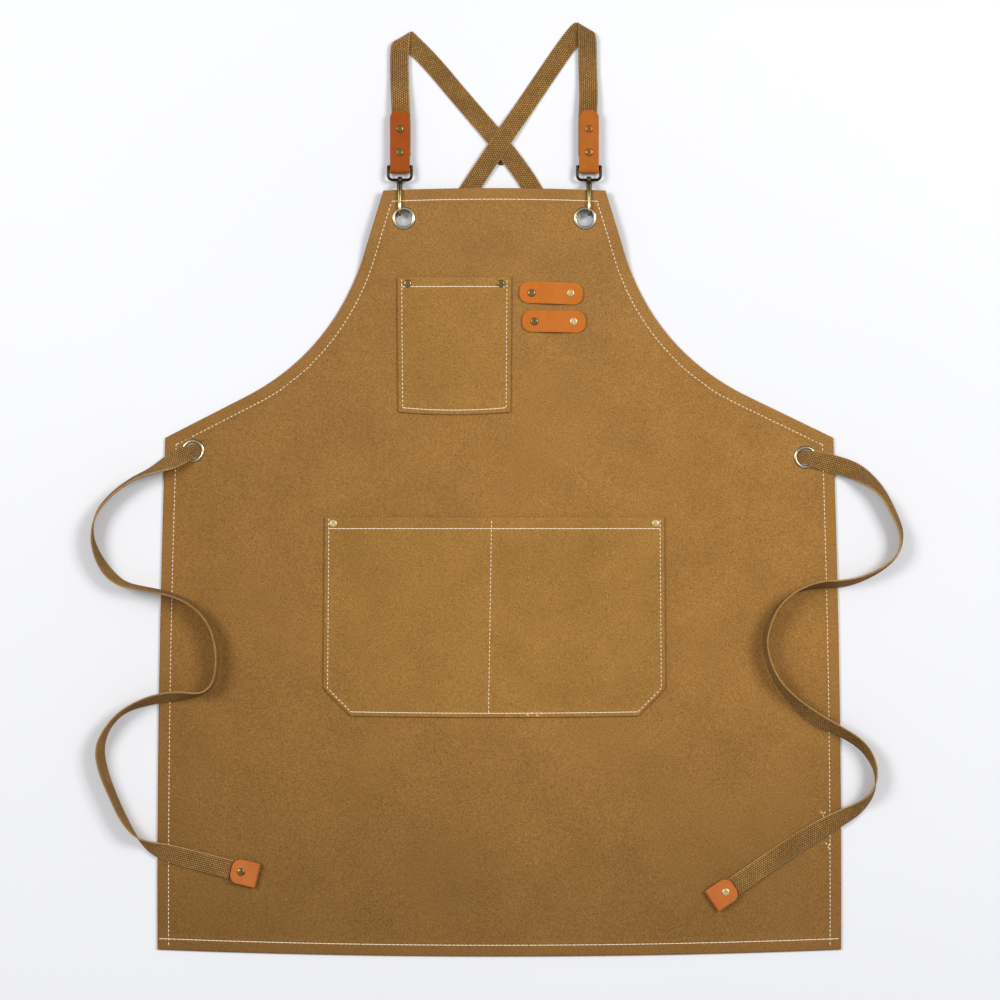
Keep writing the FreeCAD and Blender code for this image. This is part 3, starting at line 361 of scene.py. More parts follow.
def punch_hole(bm, x, y, radius, margin, surface):
    """A round hole through a single layer, joined to the cloth round it from that margin out."""
    centre = Vector((x, y))
    open_before = {e for e in bm.edges if e.is_boundary}
    gone = [f for f in bm.faces
            if ((f.calc_center_median() / MM).to_2d() - centre).length < radius + margin]
    bmesh.ops.delete(bm, geom=gone, context="FACES")
    ragged = [e for e in bm.edges if e.is_boundary and e not in open_before]
    ring = bmesh.ops.create_circle(bm, segments=48, radius=radius * MM,
                                   matrix=Matrix.Translation((x * MM, y * MM, 0)))["verts"]
    for v in ring:
        v.co.z = surface(v.co.x / MM, v.co.y / MM) * MM
    around = {e for v in ring for e in v.link_edges}
    bmesh.ops.triangle_fill(bm, edges=ragged + list(around), use_beauty=True, normal=(0, 0, 1))


def sewn_sheet(name, across, up, place, material, thick=CLOTH_THICK, holes=()):
    """A sheet of cloth with turned edges. place gives each grid point from its two stations."""
    bm = bmesh.new()
    bmesh.ops.create_grid(bm, x_segments=len(across) - 1, y_segments=len(up) - 1, size=1)
    for v in bm.verts:
        i = round((v.co.x + 1) / 2 * (len(across) - 1))
        j = round((v.co.y + 1) / 2 * (len(up) - 1))
        v.co = Vector(place(across[i], up[j])) * MM
    for x, y, radius, margin in holes:
        punch_hole(bm, x, y, radius, margin, lambda px, py: panel_top(px, py) - CLOTH_THICK / 2)
    bmesh.ops.recalc_face_normals(bm, faces=bm.faces)
    piece = finish_mesh(name, bm, [material])
    wall = piece.modifiers.new("cloth", "SOLIDIFY")
    wall.thickness = thick * MM
    wall.offset = 0
    return piece


def apply_modifiers(piece):
    """The piece's modifiers become part of its mesh."""
    graph = bpy.context.evaluated_depsgraph_get()
    mesh = bpy.data.meshes.new_from_object(piece.evaluated_get(graph))
    old, piece.data = piece.data, mesh
    piece.modifiers.clear()
    bpy.data.meshes.remove(old)
    mesh.name = piece.name
    return piece


def panel_rise(x, y, inset):
    """How high the middle of the panel's folded cloth is, from how far in from its nearest edge it is."""
    lift = BIB_LIFT * step(y, BIB_LIFT_FROM, BIB_LIFT_TO)
    drop = HEM_DROP * step(inset, HEM_WIDE - 1.0, HEM_WIDE + 2.5)
    groove = GROOVE_DEEP * math.exp(-((inset - STITCH_INSET) / GROOVE_WIDE) ** 2)
    drift = noise.noise(Vector((x, y, 0)) / PUCKER_DRIFT)
    pucker = PUCKER_HIGH * math.sin((x + y) / PUCKER_LONG + 2 * drift)
    pucker *= math.exp(-((inset - STITCH_INSET) / PUCKER_WIDE) ** 2)
    swell = max(0.0, noise.noise(Vector((x / WAVE_WIDE, y / WAVE_LONG, WAVE_SEED))))
    wave = WAVE_HIGH * swell * step(inset, 8, 60)
    return CLOTH_THICK / 2 + FOLD_RISE + UNDER_GAP + lift - drop - groove + pucker + wave


def panel_inset(x, y):
    """How far in from the panel's nearest edge a point is."""
    upper = y >= UNDERARM_Y
    near = []
    for side in (-1, 1):
        edge, widened = panel_edge(side, y, upper)
        near.append((edge - x) * side / widened)
    share = x / HEM_HALF
    return min(*near, y - HEM_Y + HEM_BOW * (1 - share * share), BIB_Y + BIB_BOW - y)


def panel_top(x, y):
    """The top face of the panel."""
    return panel_rise(x, y, panel_inset(x, y)) + FOLD_RISE + CLOTH_THICK / 2


def hem_bow(x):
    """How far the hem bows down at x."""
    return HEM_BOW * (1 - (x / HEM_HALF) ** 2)


def bib_bow(x):
    """How far the bib's edge bows out at x."""
    return BIB_BOW * (1 - ((x - BIB_MIDDLE) / BIB_HALF) ** 2)


PANEL_EDGE = hem_stations(HEM_WIDE, (3, 5, 7.5, 9.5, 10.7, 11.5, 12.3, 13.2, 14.2, 15.6, EDGE_BAND))
panel_across = [(0, inset, layer) for inset, layer in PANEL_EDGE]
panel_across += [(k / PANEL_COLUMNS, None, 1) for k in range(1, PANEL_COLUMNS)]
panel_across += [(1, inset, layer) for inset, layer in reversed(PANEL_EDGE)]
panel_up = [(HEM_Y + inset, False, inset, layer) for inset, layer in PANEL_EDGE]
low_rows, high_rows = HEM_Y + EDGE_BAND, BIB_Y - EDGE_BAND
panel_up += [(low_rows + (UNDERARM_Y - low_rows) * k / PANEL_ROWS_BELOW, False, 99, 1)
             for k in range(1, PANEL_ROWS_BELOW)]
panel_up += [(UNDERARM_Y + (high_rows - UNDERARM_Y) * k / PANEL_ROWS_ABOVE, True, 99, 1)
             for k in range(PANEL_ROWS_ABOVE)]
panel_up += [(BIB_Y - inset, True, inset, layer) for inset, layer in reversed(PANEL_EDGE)]


def panel_point(column, row):
    """Where a grid point of the panel lies, from its column's and its row's stations."""
    share, inset, layer = column
    y, upper, up_inset, up_layer = row
    near_underarm = math.exp(-((y - UNDERARM_Y) / MITRE_SPREAD) ** 2)
    if inset is None:
        middle_inset = EDGE_BAND + MITRE_REACH * min(share, 1 - share)
        y -= MITRE * near_underarm * max(0.0, EDGE_BAND - (middle_inset - EDGE_BAND) * MITRE_FADE)
        left, left_wide = panel_edge(-1, y, upper)
        right, right_wide = panel_edge(1, y, upper)
        start, end = left + EDGE_BAND * left_wide, right - EDGE_BAND * right_wide
        x = start + (end - start) * share
        side_inset = min((x - left) / left_wide, (right - x) / right_wide)
    else:
        side = -1 if share == 0 else 1
        y -= MITRE * near_underarm * inset
        edge, widened = panel_edge(side, y, upper)
        x = edge - side * inset * widened
        side_inset = inset
    level = min(layer, up_layer)
    to_hem = ((BIB_Y - y) / (BIB_Y - HEM_Y)) ** 6
    to_bib = max(0.0, (y - BIB_BOW_FROM) / (BIB_Y - BIB_BOW_FROM)) ** 4
    bow = -hem_bow(x) * to_hem + bib_bow(x) * to_bib
    rise = panel_rise(x, y + bow, min(side_inset, up_inset))
    return x, y + bow, rise + level * FOLD_RISE


# Waxed cotton canvas, plain woven and rubbed with wax: matt with a dull sheen, dark where wax sits between
# the threads and worn lighter on top. Threads are 0.6 mm apart.
THREAD_SPACING, WORN_THREAD = 0.6, "E0A860"


def canvas_material(name, tones):
    """Waxed canvas in its hem, middle and bib colours, darker at the hem partly as painted shade, and the
    dark of its wax.
    """
    material, tree, shader = new_material(name, {"Roughness": 0.8, "Sheen Weight": 0.04,
                                                 "Sheen Roughness": 0.45, "Specular IOR Level": 0.15})
    shader.inputs["Sheen Tint"].default_value = linear("D8B37C")
    place = add(tree, "ShaderNodeTexCoord").outputs["Object"]
    split = add(tree, "ShaderNodeSeparateXYZ", {0: place})
    hem, middle, bib, wax = tones
    height = add(tree, "ShaderNodeTexNoise", {"Vector": place, "Scale": 3.0, "Detail": 1.0})
    wandering = add(tree, "ShaderNodeMath", {0: height.outputs[0], 1: 0.25, 2: split.outputs[1]},
                    operation="MULTIPLY_ADD")
    cloud = add(tree, "ShaderNodeTexNoise", {"Vector": place, "Scale": 16.0, "Detail": 4.0,
                                             "Roughness": 0.6})
    # From hem to middle to bib: darker towards the hem, partly the canvas's own tone and partly painted
    # shade where less light reaches. Then darker towards the left side, and clouded with wax.
    clouded = paint(tree, hem, ((wandering.outputs[0], -0.27, 0.02, 0.0, 1.0, middle),
                                (wandering.outputs[0], 0.12, 0.42, 0.0, 1.0, bib),
                                (split.outputs[0], -0.32, 0.04, 0.34, 0.0, wax),
                                (cloud.outputs[0], 0.4, 0.72, 0.0, 0.26, wax)))
    slubs = []
    for stretch in ((1.0, 0.3, 1.0), (0.3, 1.0, 1.0)):
        turned = add(tree, "ShaderNodeMapping", {"Vector": place, "Scale": stretch})
        slub = add(tree, "ShaderNodeTexNoise", {"Vector": turned.outputs[0], "Scale": 1000 / THREAD_SPACING,
                                                "Detail": 2.0, "Roughness": 0.7})
        slubs.append(slub.outputs[0])
    threads = add(tree, "ShaderNodeMath", {0: slubs[0], 1: slubs[1]}, operation="ADD")
    speck = add(tree, "ShaderNodeTexNoise", {"Vector": place, "Scale": 1300.0, "Detail": 2.0,
                                             "Roughness": 0.6})
    both = add(tree, "ShaderNodeMath", {0: speck.outputs[0], 1: 0.8, 2: threads.outputs[0]},
               operation="MULTIPLY_ADD")
    dark = add(tree, "ShaderNodeMix", {0: 0.55, 6: clouded, 7: wax}, data_type="RGBA")
    light = add(tree, "ShaderNodeMix", {0: 0.16, 6: clouded, 7: WORN_THREAD}, data_type="RGBA")
    woven = paint(tree, dark.outputs[2], ((both.outputs[0], 1.15, 1.65, 0.0, 1.0, light.outputs[2]),))
    tree.links.new(woven, shader.inputs["Base Color"])
    bump = add(tree, "ShaderNodeBump", {"Strength": 0.35, "Distance": 0.0005, "Height": both.outputs[0]})
    tree.links.new(bump.outputs[0], shader.inputs["Normal"])
    return material


canvas = canvas_material("waxed_cotton_canvas", ("815B2C", "A57539", "A3753C", "4E320C"))
BIB_EYELETS = ((-97.6, 322.3), (87.6, 322.3))
SIDE_EYELETS = ((-313.5, 84.8), (313.5, 78.3))
HOLE_RADIUS, BIB_HOLE_MARGIN, SIDE_HOLE_MARGIN = 9.3, 3.5, 4.2
panel_holes = [(x, y, HOLE_RADIUS, BIB_HOLE_MARGIN) for x, y in BIB_EYELETS]
panel_holes += [(x, y, HOLE_RADIUS, SIDE_HOLE_MARGIN) for x, y in SIDE_EYELETS]
panel = sewn_sheet("canvas_panel", panel_across, panel_up, panel_point, canvas, holes=panel_holes)
apply_modifiers(panel)
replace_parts(panel, "apron_panel")

# The two patch pockets: canvas, edges turned in, sewn on at the sides and foot and left open at the mouth.
# They stand a little off the panel in the middle, and a row down the lower one makes it two pockets.
POCKET_FOLD, POCKET_CLOTH = 0.75, CLOTH_THICK * 0.9
# A pocket's edges have their own stations this far in. Its fold is tighter than the hem's by the tuck.
POCKET_BAND, MOUTH_BAND, BEND_TUCK, BEND_STATIONS = 10, 12, 0.95, range(2, 9)
POCKET_GROOVE, POCKET_GROOVE_IN, POCKET_GROOVE_WIDE = 0.2, 3.5, 0.9
CHEST_POCKET = {"centre": -46.0, "half": 57.2, "low": 125.2, "high": 261.8, "chamfer": 0.0, "bow": 2.5,
                "belly": 2.6, "turned": 8.0, "taper": 1.0}
LOWER_POCKET = {"centre": -5.0, "half": 173.7, "low": -185.7, "high": 16.3, "chamfer": 27.6, "bow": 1.5,
                "belly": 3.4, "turned": 9.0, "taper": -1.5}
LOWER_DIVIDER = -9.5


def pocket_half(pocket, y):
    """Half the pocket's width at height y."""
    share = (y - pocket["low"]) / (pocket["high"] - pocket["low"])
    half = pocket["half"] + pocket["taper"] * (share - 0.5)
    return half - max(0.0, pocket["chamfer"] - (y - pocket["low"]))


def pocket_rise(pocket, x, y):
    """How far the pocket's cloth stands off the panel: down at its seams and rivets, up between them."""
    half = pocket_half(pocket, y)
    side = (half - abs(x - pocket["centre"])) / pocket["half"]
    foot = (y - pocket["low"]) / (pocket["high"] - pocket["low"])
    swell = step(side, 0.06, 0.7) * step(foot, 0.03, 0.5)
    if pocket is LOWER_POCKET:
        swell *= step(abs(x - LOWER_DIVIDER), 2, 70)
    ripple = 0.35 * noise.noise(Vector((x / 45, y / 60, pocket["half"])))
    return pocket["belly"] * swell * (0.85 + ripple)


def make_pocket(name, pocket, columns, rows):
    """A patch pocket with its edges turned in, laid on the panel."""
    edge = hem_stations(pocket["turned"], (2, 3, 4, 5.5, 8, POCKET_BAND))
    edge = [((inset - BEND_TUCK) if k in BEND_STATIONS else inset, layer)
            for k, (inset, layer) in enumerate(edge)]
    mouth = edge[:BEND_STATIONS.stop] + [(inset, 1) for inset in (3, 6, 8, 9, 10, MOUTH_BAND)]
    across = [(0, inset, layer) for inset, layer in edge]
    across += [(k / columns, None, 1) for k in range(1, columns)]
    across += [(1, inset, layer) for inset, layer in reversed(edge)]
    up = [(pocket["low"] + inset, layer) for inset, layer in edge]
    start, end = pocket["low"] + POCKET_BAND, pocket["high"] - MOUTH_BAND
    up += [(start + (end - start) * k / rows, 1) for k in range(1, rows)]
    up += [(pocket["high"] - inset, layer) for inset, layer in reversed(mouth)]

    def place(column, row):
        share, inset, layer = column
        y, up_layer = row
        half = pocket_half(pocket, y)
        if inset is None:
            x = pocket["centre"] + (half - POCKET_BAND) * (2 * share - 1)
        else:
            x = pocket["centre"] + (-1 if share == 0 else 1) * (half - inset)
        off_centre = (x - pocket["centre"]) / half
        foot = 1 - (y - pocket["low"]) / (pocket["high"] - pocket["low"])
        y -= pocket["bow"] * (1 - off_centre ** 2) * max(0.0, foot) ** 4
        near = min(half - abs(x - pocket["centre"]), y - pocket["low"] + 2)
        groove = POCKET_GROOVE * math.exp(-((near - POCKET_GROOVE_IN) / POCKET_GROOVE_WIDE) ** 2)
        rise = pocket_rise(pocket, x, y) + POCKET_FOLD + CLOTH_THICK / 2 - groove
        return x, y, panel_top(x, y) + rise + min(layer, up_layer) * POCKET_FOLD

    return sewn_sheet(name, across, up, place, pocket_canvas, POCKET_CLOTH)


def pocket_top(pocket, x, y):
    """The top face of a pocket."""
    return panel_top(x, y) + pocket_rise(pocket, x, y) + 2 * POCKET_FOLD + CLOTH_THICK


pocket_canvas = canvas_material("waxed_pocket_canvas", ("9A6F37", "A57738", "AA7B3C", "4E320C"))
chest_pocket = make_pocket("chest_pocket_cloth", CHEST_POCKET, 30, 34)
lower_pocket = make_pocket("lower_pocket_cloth", LOWER_POCKET, 84, 48)
for piece, node in ((chest_pocket, "chest_pocket"), (lower_pocket, "lower_pocket")):
    apply_modifiers(piece)
    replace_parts(piece, node)

# The seams: one row of thick cream cotton thread, lockstitched, showing as short raised dashes.
# Each dash is sunk a little in the cloth at its ends.
thread, tree, shader = new_material("cream_cotton_thread", {"Roughness": 0.6, "Sheen Weight": 0.3})
place = add(tree, "ShaderNodeTexCoord").outputs["Object"]
twist = add(tree, "ShaderNodeTexNoise", {"Vector": place, "Scale": 900.0, "Detail": 1.0})
cream = paint(tree, "E2CDA6", ((twist.outputs[0], 0.0, 1.0, 0.0, 1.0, "FFF3DC"),))
tree.links.new(cream, shader.inputs["Base Color"])
STITCH_PITCH, STITCH_LONG, STITCH_THICK, STITCH_HIGH, STITCH_RISE = 4.4, 3.5, 0.95, 0.42, 0.02
# Rows that run nearly across the apron have longer dashes that all but touch.
LEVEL_STITCH_LONG, LEVEL_SLOPE = 5.8, 0.25
STITCH_TURN, STITCH_UNEVEN = 0.10, 0.12


def sew(name, lines, surface):
    """Dashes of thread along each line of (x, y) points, lying on the surface."""
    bm = bmesh.new()
    for line in lines:
        points = [Vector(p) for p in line]
        walked, due = 0.0, STITCH_PITCH / 2
        for a, b in zip(points, points[1:]):
            span = (b - a).length
            angle = math.atan2(b.y - a.y, b.x - a.x)
            long = LEVEL_STITCH_LONG if abs(math.sin(angle)) < LEVEL_SLOPE else STITCH_LONG
            while due <= walked + span:
                x, y = a.lerp(b, (due - walked) / span)
                jog = noise.noise(Vector((x, y, 1.0)) * 3)
                uneven = long / 2 * (1 + STITCH_UNEVEN * jog)
                matrix = Matrix.Translation(Vector((x, y, surface(x, y) + STITCH_RISE)) * MM)
                matrix @= Matrix.Rotation(angle + STITCH_TURN * jog, 4, "Z")
                matrix @= Matrix.Diagonal((uneven, STITCH_THICK / 2, STITCH_HIGH, 1 / MM)) * MM
                bmesh.ops.create_uvsphere(bm, u_segments=6, v_segments=5, radius=1, matrix=matrix)
                due += STITCH_PITCH
            walked += span
    piece = finish_mesh(name, bm, [thread])
    return piece


def edge_line(side, inset, low, high, upper, count=40):
    """Points up an edge, that far in from it."""
    line = []
    for k in range(count + 1):
        y = low + (high - low) * k / count
        edge, widened = panel_edge(side, y, upper)
        line.append((edge - side * inset * widened, y))
    return line


underarm_turn = UNDERARM_Y - MITRE * STITCH_INSET
hem_seam = [(x, HEM_Y + STITCH_INSET - hem_bow(x)) for x in range(-348, 349, 12)]
bib_seam = [(x, BIB_Y - STITCH_INSET + bib_bow(x)) for x in range(-110, 101, 10)]
seams = [hem_seam, bib_seam]
SEAM_START = 4.0
for side in (-1, 1):
    seams.append(edge_line(side, STITCH_INSET, HEM_Y + SEAM_START, underarm_turn, False))
    seams.append(edge_line(side, STITCH_INSET, underarm_turn, BIB_Y - STITCH_INSET, True))
# Two tufts of loose thread on the right seam: where each is, and how its three ends lie.
LOOSE_TUFTS, LOOSE_ENDS = ((331, -287), (336, -319)), ((3, 2), (-2, 3), (1, -3))
for x, y in LOOSE_TUFTS:
    seams += [[(x, y), (x + across, y + up)] for across, up in LOOSE_ENDS]
panel_seams = sew("panel_seams", seams, panel_top)


SEAM_TOP = 1.5


def pocket_lines(pocket, side_in, mouth_in):
    """The row round a pocket's sides and foot, and the row below its mouth."""
    low, high, centre = pocket["low"] + side_in, pocket["high"] - SEAM_TOP, pocket["centre"]
    right = [(centre + pocket_half(pocket, y) - side_in, y)
             for y in [low + (high - low) * k / 40 for k in range(41)]]
    foot_half = right[0][0] - centre
    foot = [(centre + foot_half * k / 20, low - pocket["bow"] * (1 - (k / 20) ** 2))
            for k in range(20, -21, -1)]
    left = [(2 * centre - x, y) for x, y in right]
    ring = list(reversed(right)) + foot + left
    mouth_half = pocket_half(pocket, high - mouth_in) - side_in
    mouth = [(centre + mouth_half * k / 10, pocket["high"] - mouth_in) for k in range(-10, 11)]
    return [ring, mouth]


# How far in each pocket's rows are: from its sides and foot, and from its mouth.
CHEST_ROWS, LOWER_ROWS = (3.8, 9.0), (3.6, 11.0)
DIVIDER_TOP, DIVIDER_LONG, DIVIDER_LEAN = 14, 197, 1.5
FRAYED_Y, FRAYED_LONG, FRAYED_ENDS = -184.5, 3, ((27, -1.5), (31, 1.5), (37, -2), (42, 1))
sew("chest_pocket_seams", pocket_lines(CHEST_POCKET, *CHEST_ROWS),
    lambda x, y: pocket_top(CHEST_POCKET, x, y))
divider = [(LOWER_DIVIDER + DIVIDER_LEAN * (k / 20 - 0.5) * 2, DIVIDER_TOP - DIVIDER_LONG * (1 - k / 20))
           for k in range(20, -1, -1)]
frayed = [[(x, FRAYED_Y), (x + FRAYED_LONG, FRAYED_Y + up)] for x, up in FRAYED_ENDS]
sew("lower_pocket_seams", pocket_lines(LOWER_POCKET, *LOWER_ROWS) + [divider] + frayed,
    lambda x, y: pocket_top(LOWER_POCKET, x, y))

# The leather: vegetable-tanned cowhide, 1.5 to 2 mm thick, dyed orange tan and lightly oiled.
# It is smooth with a fine pore, and its cut edges are dyed dark red-brown.
PORE = 0.7


def leather_material(name, base, deep, gloss):
    """Leather between its base colour and the deeper one of its pores."""
    material, tree, shader = new_material(name, {"Roughness": gloss, "Specular IOR Level": 0.16})
    place = add(tree, "ShaderNodeTexCoord").outputs["Object"]
    tan = add(tree, "ShaderNodeTexNoise", {"Vector": place, "Scale": 90.0, "Detail": 4.0, "Roughness": 0.6})
    pores = add(tree, "ShaderNodeTexVoronoi", {"Vector": place, "Scale": 1000 / PORE}, distance="EUCLIDEAN")
    dotted = paint(tree, base, ((tan.outputs[0], 0.35, 0.7, 0.0, 0.35, deep),
                                (pores.outputs[0], 0.0, 0.35, 0.35, 0.0, deep)))
    tree.links.new(dotted, shader.inputs["Base Color"])
    rough = add(tree, "ShaderNodeMapRange", {0: tan.outputs[0], 1: 0.3, 2: 0.7,
                                             3: gloss - 0.08, 4: gloss + 0.1})
    tree.links.new(rough.outputs[0], shader.inputs["Roughness"])
    fine = add(tree, "ShaderNodeTexNoise", {"Vector": place, "Scale": 1600.0, "Detail": 2.0})
    bump = add(tree, "ShaderNodeBump", {"Strength": 0.25, "Distance": 0.0003, "Height": fine.outputs[0]})
    dent = add(tree, "ShaderNodeBump", {"Strength": 0.3, "Distance": 0.0004, "Height": pores.outputs[0],
                                        "Normal": bump.outputs[0]})
    tree.links.new(dent.outputs[0], shader.inputs["Normal"])
    return material


leather_edge = leather_material("dyed_leather_edge", "7A2F12", "55200C", 0.6)
LEATHER_CORNERS = 10
LEATHER_COLUMNS = 12
WORN_EDGE = 0.35


def leather_strip(name, stations, wide, corner, matrix, leather, thick):
    """A strap of leather through its (along, up) stations, with round corners at both ends."""
    length = [0.0]
    for a, b in zip(stations, stations[1:]):
        length.append(length[-1] + math.hypot(b[0] - a[0], b[1] - a[1]))
    bm = bmesh.new()
    bmesh.ops.create_grid(bm, x_segments=len(stations) - 1, y_segments=LEATHER_COLUMNS, size=1)
    for v in bm.verts:
        j = round((v.co.x + 1) / 2 * (len(stations) - 1))
        along, up = stations[j]
        half = wide / 2
        near = min(length[j], length[-1] - length[j])
        if near < corner:
            half = wide / 2 - corner + math.sqrt(max(0.0, corner ** 2 - (corner - near) ** 2))
        v.co = matrix @ (Vector((along, v.co.y * half, up)) * MM)
    bmesh.ops.recalc_face_normals(bm, faces=bm.faces)
    piece = finish_mesh(name, bm, [leather, leather_edge])
    wall = piece.modifiers.new("hide", "SOLIDIFY")
    wall.thickness = thick * MM
    wall.offset = 0
    wall.material_offset_rim = 1
    soften = piece.modifiers.new("worn_edge", "BEVEL")
    soften.width = WORN_EDGE * MM
    soften.segments = 2
    soften.limit_method = "ANGLE"
    soften.angle_limit = math.radians(50)
    apply_modifiers(piece)
    return piece


def end_stations(start, corner, sign, up):
    """Close steps through a rounded end, so that its corners are round."""
    return [(start + sign * corner * (1 - math.cos(k * math.pi / 2 / LEATHER_CORNERS)), up)
            for k in range(LEATHER_CORNERS + 1)]


# The two tool loops: short straps of orange tan leather, riveted to the bib at both ends.
# Each is bowed up between its rivets so that a pencil fits. Its place is x, y and how far it is turned.
LOOP_HALF, LOOP_CORNER, LOOP_WIDTH, LOOP_THICK, LOOP_BOW = 32.5, 9.5, 22.0, 2.0, 2.4
LOOP_RIVET = 20
tan_leather = leather_material("orange_tan_leather", "BB681D", "A85614", 0.5)
LOOPS = {"upper_tool_loop": (53, 246.3, -2.0), "lower_tool_loop": (56, 217.3, -1.0)}
for node, (x, y, turn) in LOOPS.items():
    base = panel_top(x, y) + LOOP_THICK / 2
    lies = end_stations(-LOOP_HALF, LOOP_CORNER, 1, 0)
    middle = [(at, LOOP_BOW * step(LOOP_HALF - abs(at), LOOP_CORNER + 4, LOOP_HALF))
              for at in range(-LOOP_RIVET, LOOP_RIVET + 1, 4)]
    rises = [(-at, up) for at, up in reversed(lies)]
    matrix = Matrix.Translation(Vector((x, y, base)) * MM) @ Matrix.Rotation(math.radians(turn), 4, "Z")
    loop = leather_strip(node + "_leather", lies + middle + rises, LOOP_WIDTH, LOOP_CORNER, matrix,
                         tan_leather, LOOP_THICK)
    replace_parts(loop, node)

# The hook tabs: a strap of leather folded round the swivel ring's bar, with the webbing riveted inside it.
# The top end of each leaf is rounded, and the leaves spread a little round the bar.
HOOK_X = {"left": -101.6, "right": 91.6}
TAB_WIDTH, TAB_THICK, TAB_CORNER, TAB_LEAF = 20.0, 1.8, 8.0, 1.5
TAB_TOP, TAB_MIDDLE, TAB_BEND, TAB_BULGE = 432.7, 6.7, 371.7, 2.55
dark_leather = leather_material("chestnut_tan_leather", "964506", "7E3603", 0.48)
bright_leather = leather_material("pale_tan_leather", "A85D18", "8E480D", 0.48)
for side, leather in (("left", dark_leather), ("right", bright_leather)):
    front = end_stations(TAB_TOP, TAB_CORNER, -1, TAB_LEAF)
    front += [(at, TAB_LEAF) for at in (418, 412, 406, 400, 394, 388)]
    front += [(383, 1.75), (379.5, 2.25), (375.5, TAB_BULGE)]
    bend = [(TAB_BEND - TAB_BULGE * math.sin(turn), TAB_BULGE * math.cos(turn))
            for turn in (k * math.pi / 8 for k in range(9))]
    back = [(at, -up) for at, up in reversed(front)]
    matrix = Matrix.Translation(Vector((HOOK_X[side], 0, TAB_MIDDLE)) * MM)
    matrix @= Matrix.Rotation(math.pi / 2, 4, "Z")
    tab = leather_strip(side + "_hook_tab_leather", front + bend + back, TAB_WIDTH, TAB_CORNER, matrix,
                        leather, TAB_THICK)
    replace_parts(tab, side + "_hook_tab")

# The end tabs: a short piece of leather folded over each strap's end and riveted through.
# Its open end is rounded. Its place is x, y and how far it is turned.
END_LONG, END_WIDTH, END_CORNER, END_THICK, END_MIDDLE = 28.0, 25.0, 9.0, 1.5, 6.0
END_LEAF, END_FOLD = 1.4, 2.1
END_TABS = {"left_end_tab": (-274, -343, -13.7), "right_end_tab": (240, -360, -146.1)}
end_leather = leather_material("burnt_tan_leather", "BA6930", "9C501E", 0.5)
for node, (x, y, turn) in END_TABS.items():
    front = end_stations(0, END_CORNER, 1, END_LEAF) + [(at, END_LEAF) for at in (12, 16, 20, 24)]
    bend = [(END_LONG - END_FOLD + END_LEAF * math.sin(spin), END_LEAF * math.cos(spin))
            for spin in (k * math.pi / 6 for k in range(7))]
    back = [(at, -up) for at, up in reversed(front)]
    matrix = Matrix.Translation(Vector((x, y, END_MIDDLE)) * MM)
    matrix @= Matrix.Rotation(math.radians(turn), 4, "Z")
    tab = leather_strip(node + "_leather", front + bend + back, END_WIDTH, END_CORNER, matrix,
                        end_leather, END_THICK)
    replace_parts(tab, node)

# The metal: brass, tumbled and darkened. The pale bands on the eyelets' rims and the hooks' bends are
# painted highlights.
# The rivets' caps are pressed domes with a flat rim, closed by plain backs under the cloth.


# The colour of the hook's painted highlight, and of the painted shade on its head.
BEAD_HIGHLIGHT_COLOUR, HEAD_SHADE_COLOUR = "F4E8CC", "3A3222"


def brass_material(name, bright, dull, rough, metallic=1.0, highlight_band=None, dark=None):
    """Brass between two colours.

    Along Y it can carry a painted highlight, a pale band, and painted shade turning dark from one height to
    another, in metres.
    """
    material, tree, shader = new_material(name, {"Metallic": metallic})
    place = add(tree, "ShaderNodeTexCoord").outputs["Object"]
    patina = add(tree, "ShaderNodeTexNoise", {"Vector": place, "Scale": 260.0, "Detail": 3.0,
                                              "Roughness": 0.5})
    layers = [(patina.outputs[0], 0.35, 0.7, 0.0, 1.0, dull)]
    split = add(tree, "ShaderNodeSeparateXYZ", {0: place})
    # Painted highlight: a pale band along Y.
    if highlight_band:
        low, high = highlight_band
        rise = add(tree, "ShaderNodeMapRange", {0: split.outputs[1], 1: low - 0.003, 2: low})
        fall = add(tree, "ShaderNodeMapRange", {0: split.outputs[1], 1: high, 2: high + 0.002,
                                                3: 1.0, 4: 0.0})
        band = add(tree, "ShaderNodeMath", {0: rise.outputs[0], 1: fall.outputs[0]}, operation="MULTIPLY")
        layers.append((band.outputs[0], 0.0, 1.0, 0.0, 1.0, BEAD_HIGHLIGHT_COLOUR))
    # Painted shade: dark from one height to the next.
    if dark:
        layers.append((split.outputs[1], *dark, 0.0, 1.0, HEAD_SHADE_COLOUR))
    tree.links.new(paint(tree, bright, layers), shader.inputs["Base Color"])
    dulled = add(tree, "ShaderNodeMapRange", {0: patina.outputs[0], 1: 0.3, 2: 0.7,
                                              3: rough, 4: rough + 0.12})
    tree.links.new(dulled.outputs[0], shader.inputs["Roughness"])
    bump = add(tree, "ShaderNodeBump", {"Strength": 0.1, "Distance": 0.0001, "Height": patina.outputs[0]})
    tree.links.new(bump.outputs[0], shader.inputs["Normal"])
    return material


antique_brass = brass_material("antique_brass", "A08B55", "75633A", 0.26)
# Pale brass: the painted highlight round the eyelets' rims.
rim_highlight_brass = brass_material("rim_highlight_brass", "D8CDAE", "AA9C76", 0.24)
# Darkened brass, as on the swivel rings and rivet backs, and also the painted shade in the eyelets' bores
# and outer edges.
dark_brass_and_shade = brass_material("darkened_brass_and_painted_shade", "41382A", "231E16", 0.3)
copper_brass = brass_material("coppery_brass", "C08A4E", "96642C", 0.26)
bright_brass = brass_material("bright_cap_brass", "E4CC94", "B99C60", 0.3, 0.6)
# The hook's metal: a painted highlight near its bend and painted shade on its head, each a band along Y.
shaded_hook_brass = brass_material("shaded_hook_brass", "AE9A6C", "85724A", 0.26, 1.0, (0.333, 0.336), (0.337, 0.352))
CAP_PROFILE = ((0, 1.22), (1.2, 1.24), (2.2, 1.3), (2.7, 1.3), (3.1, 1.2), (3.5, 0.95), (3.85, 0.6),
               (4.05, 0.2), (4.1, -0.1), (3.7, -0.3))


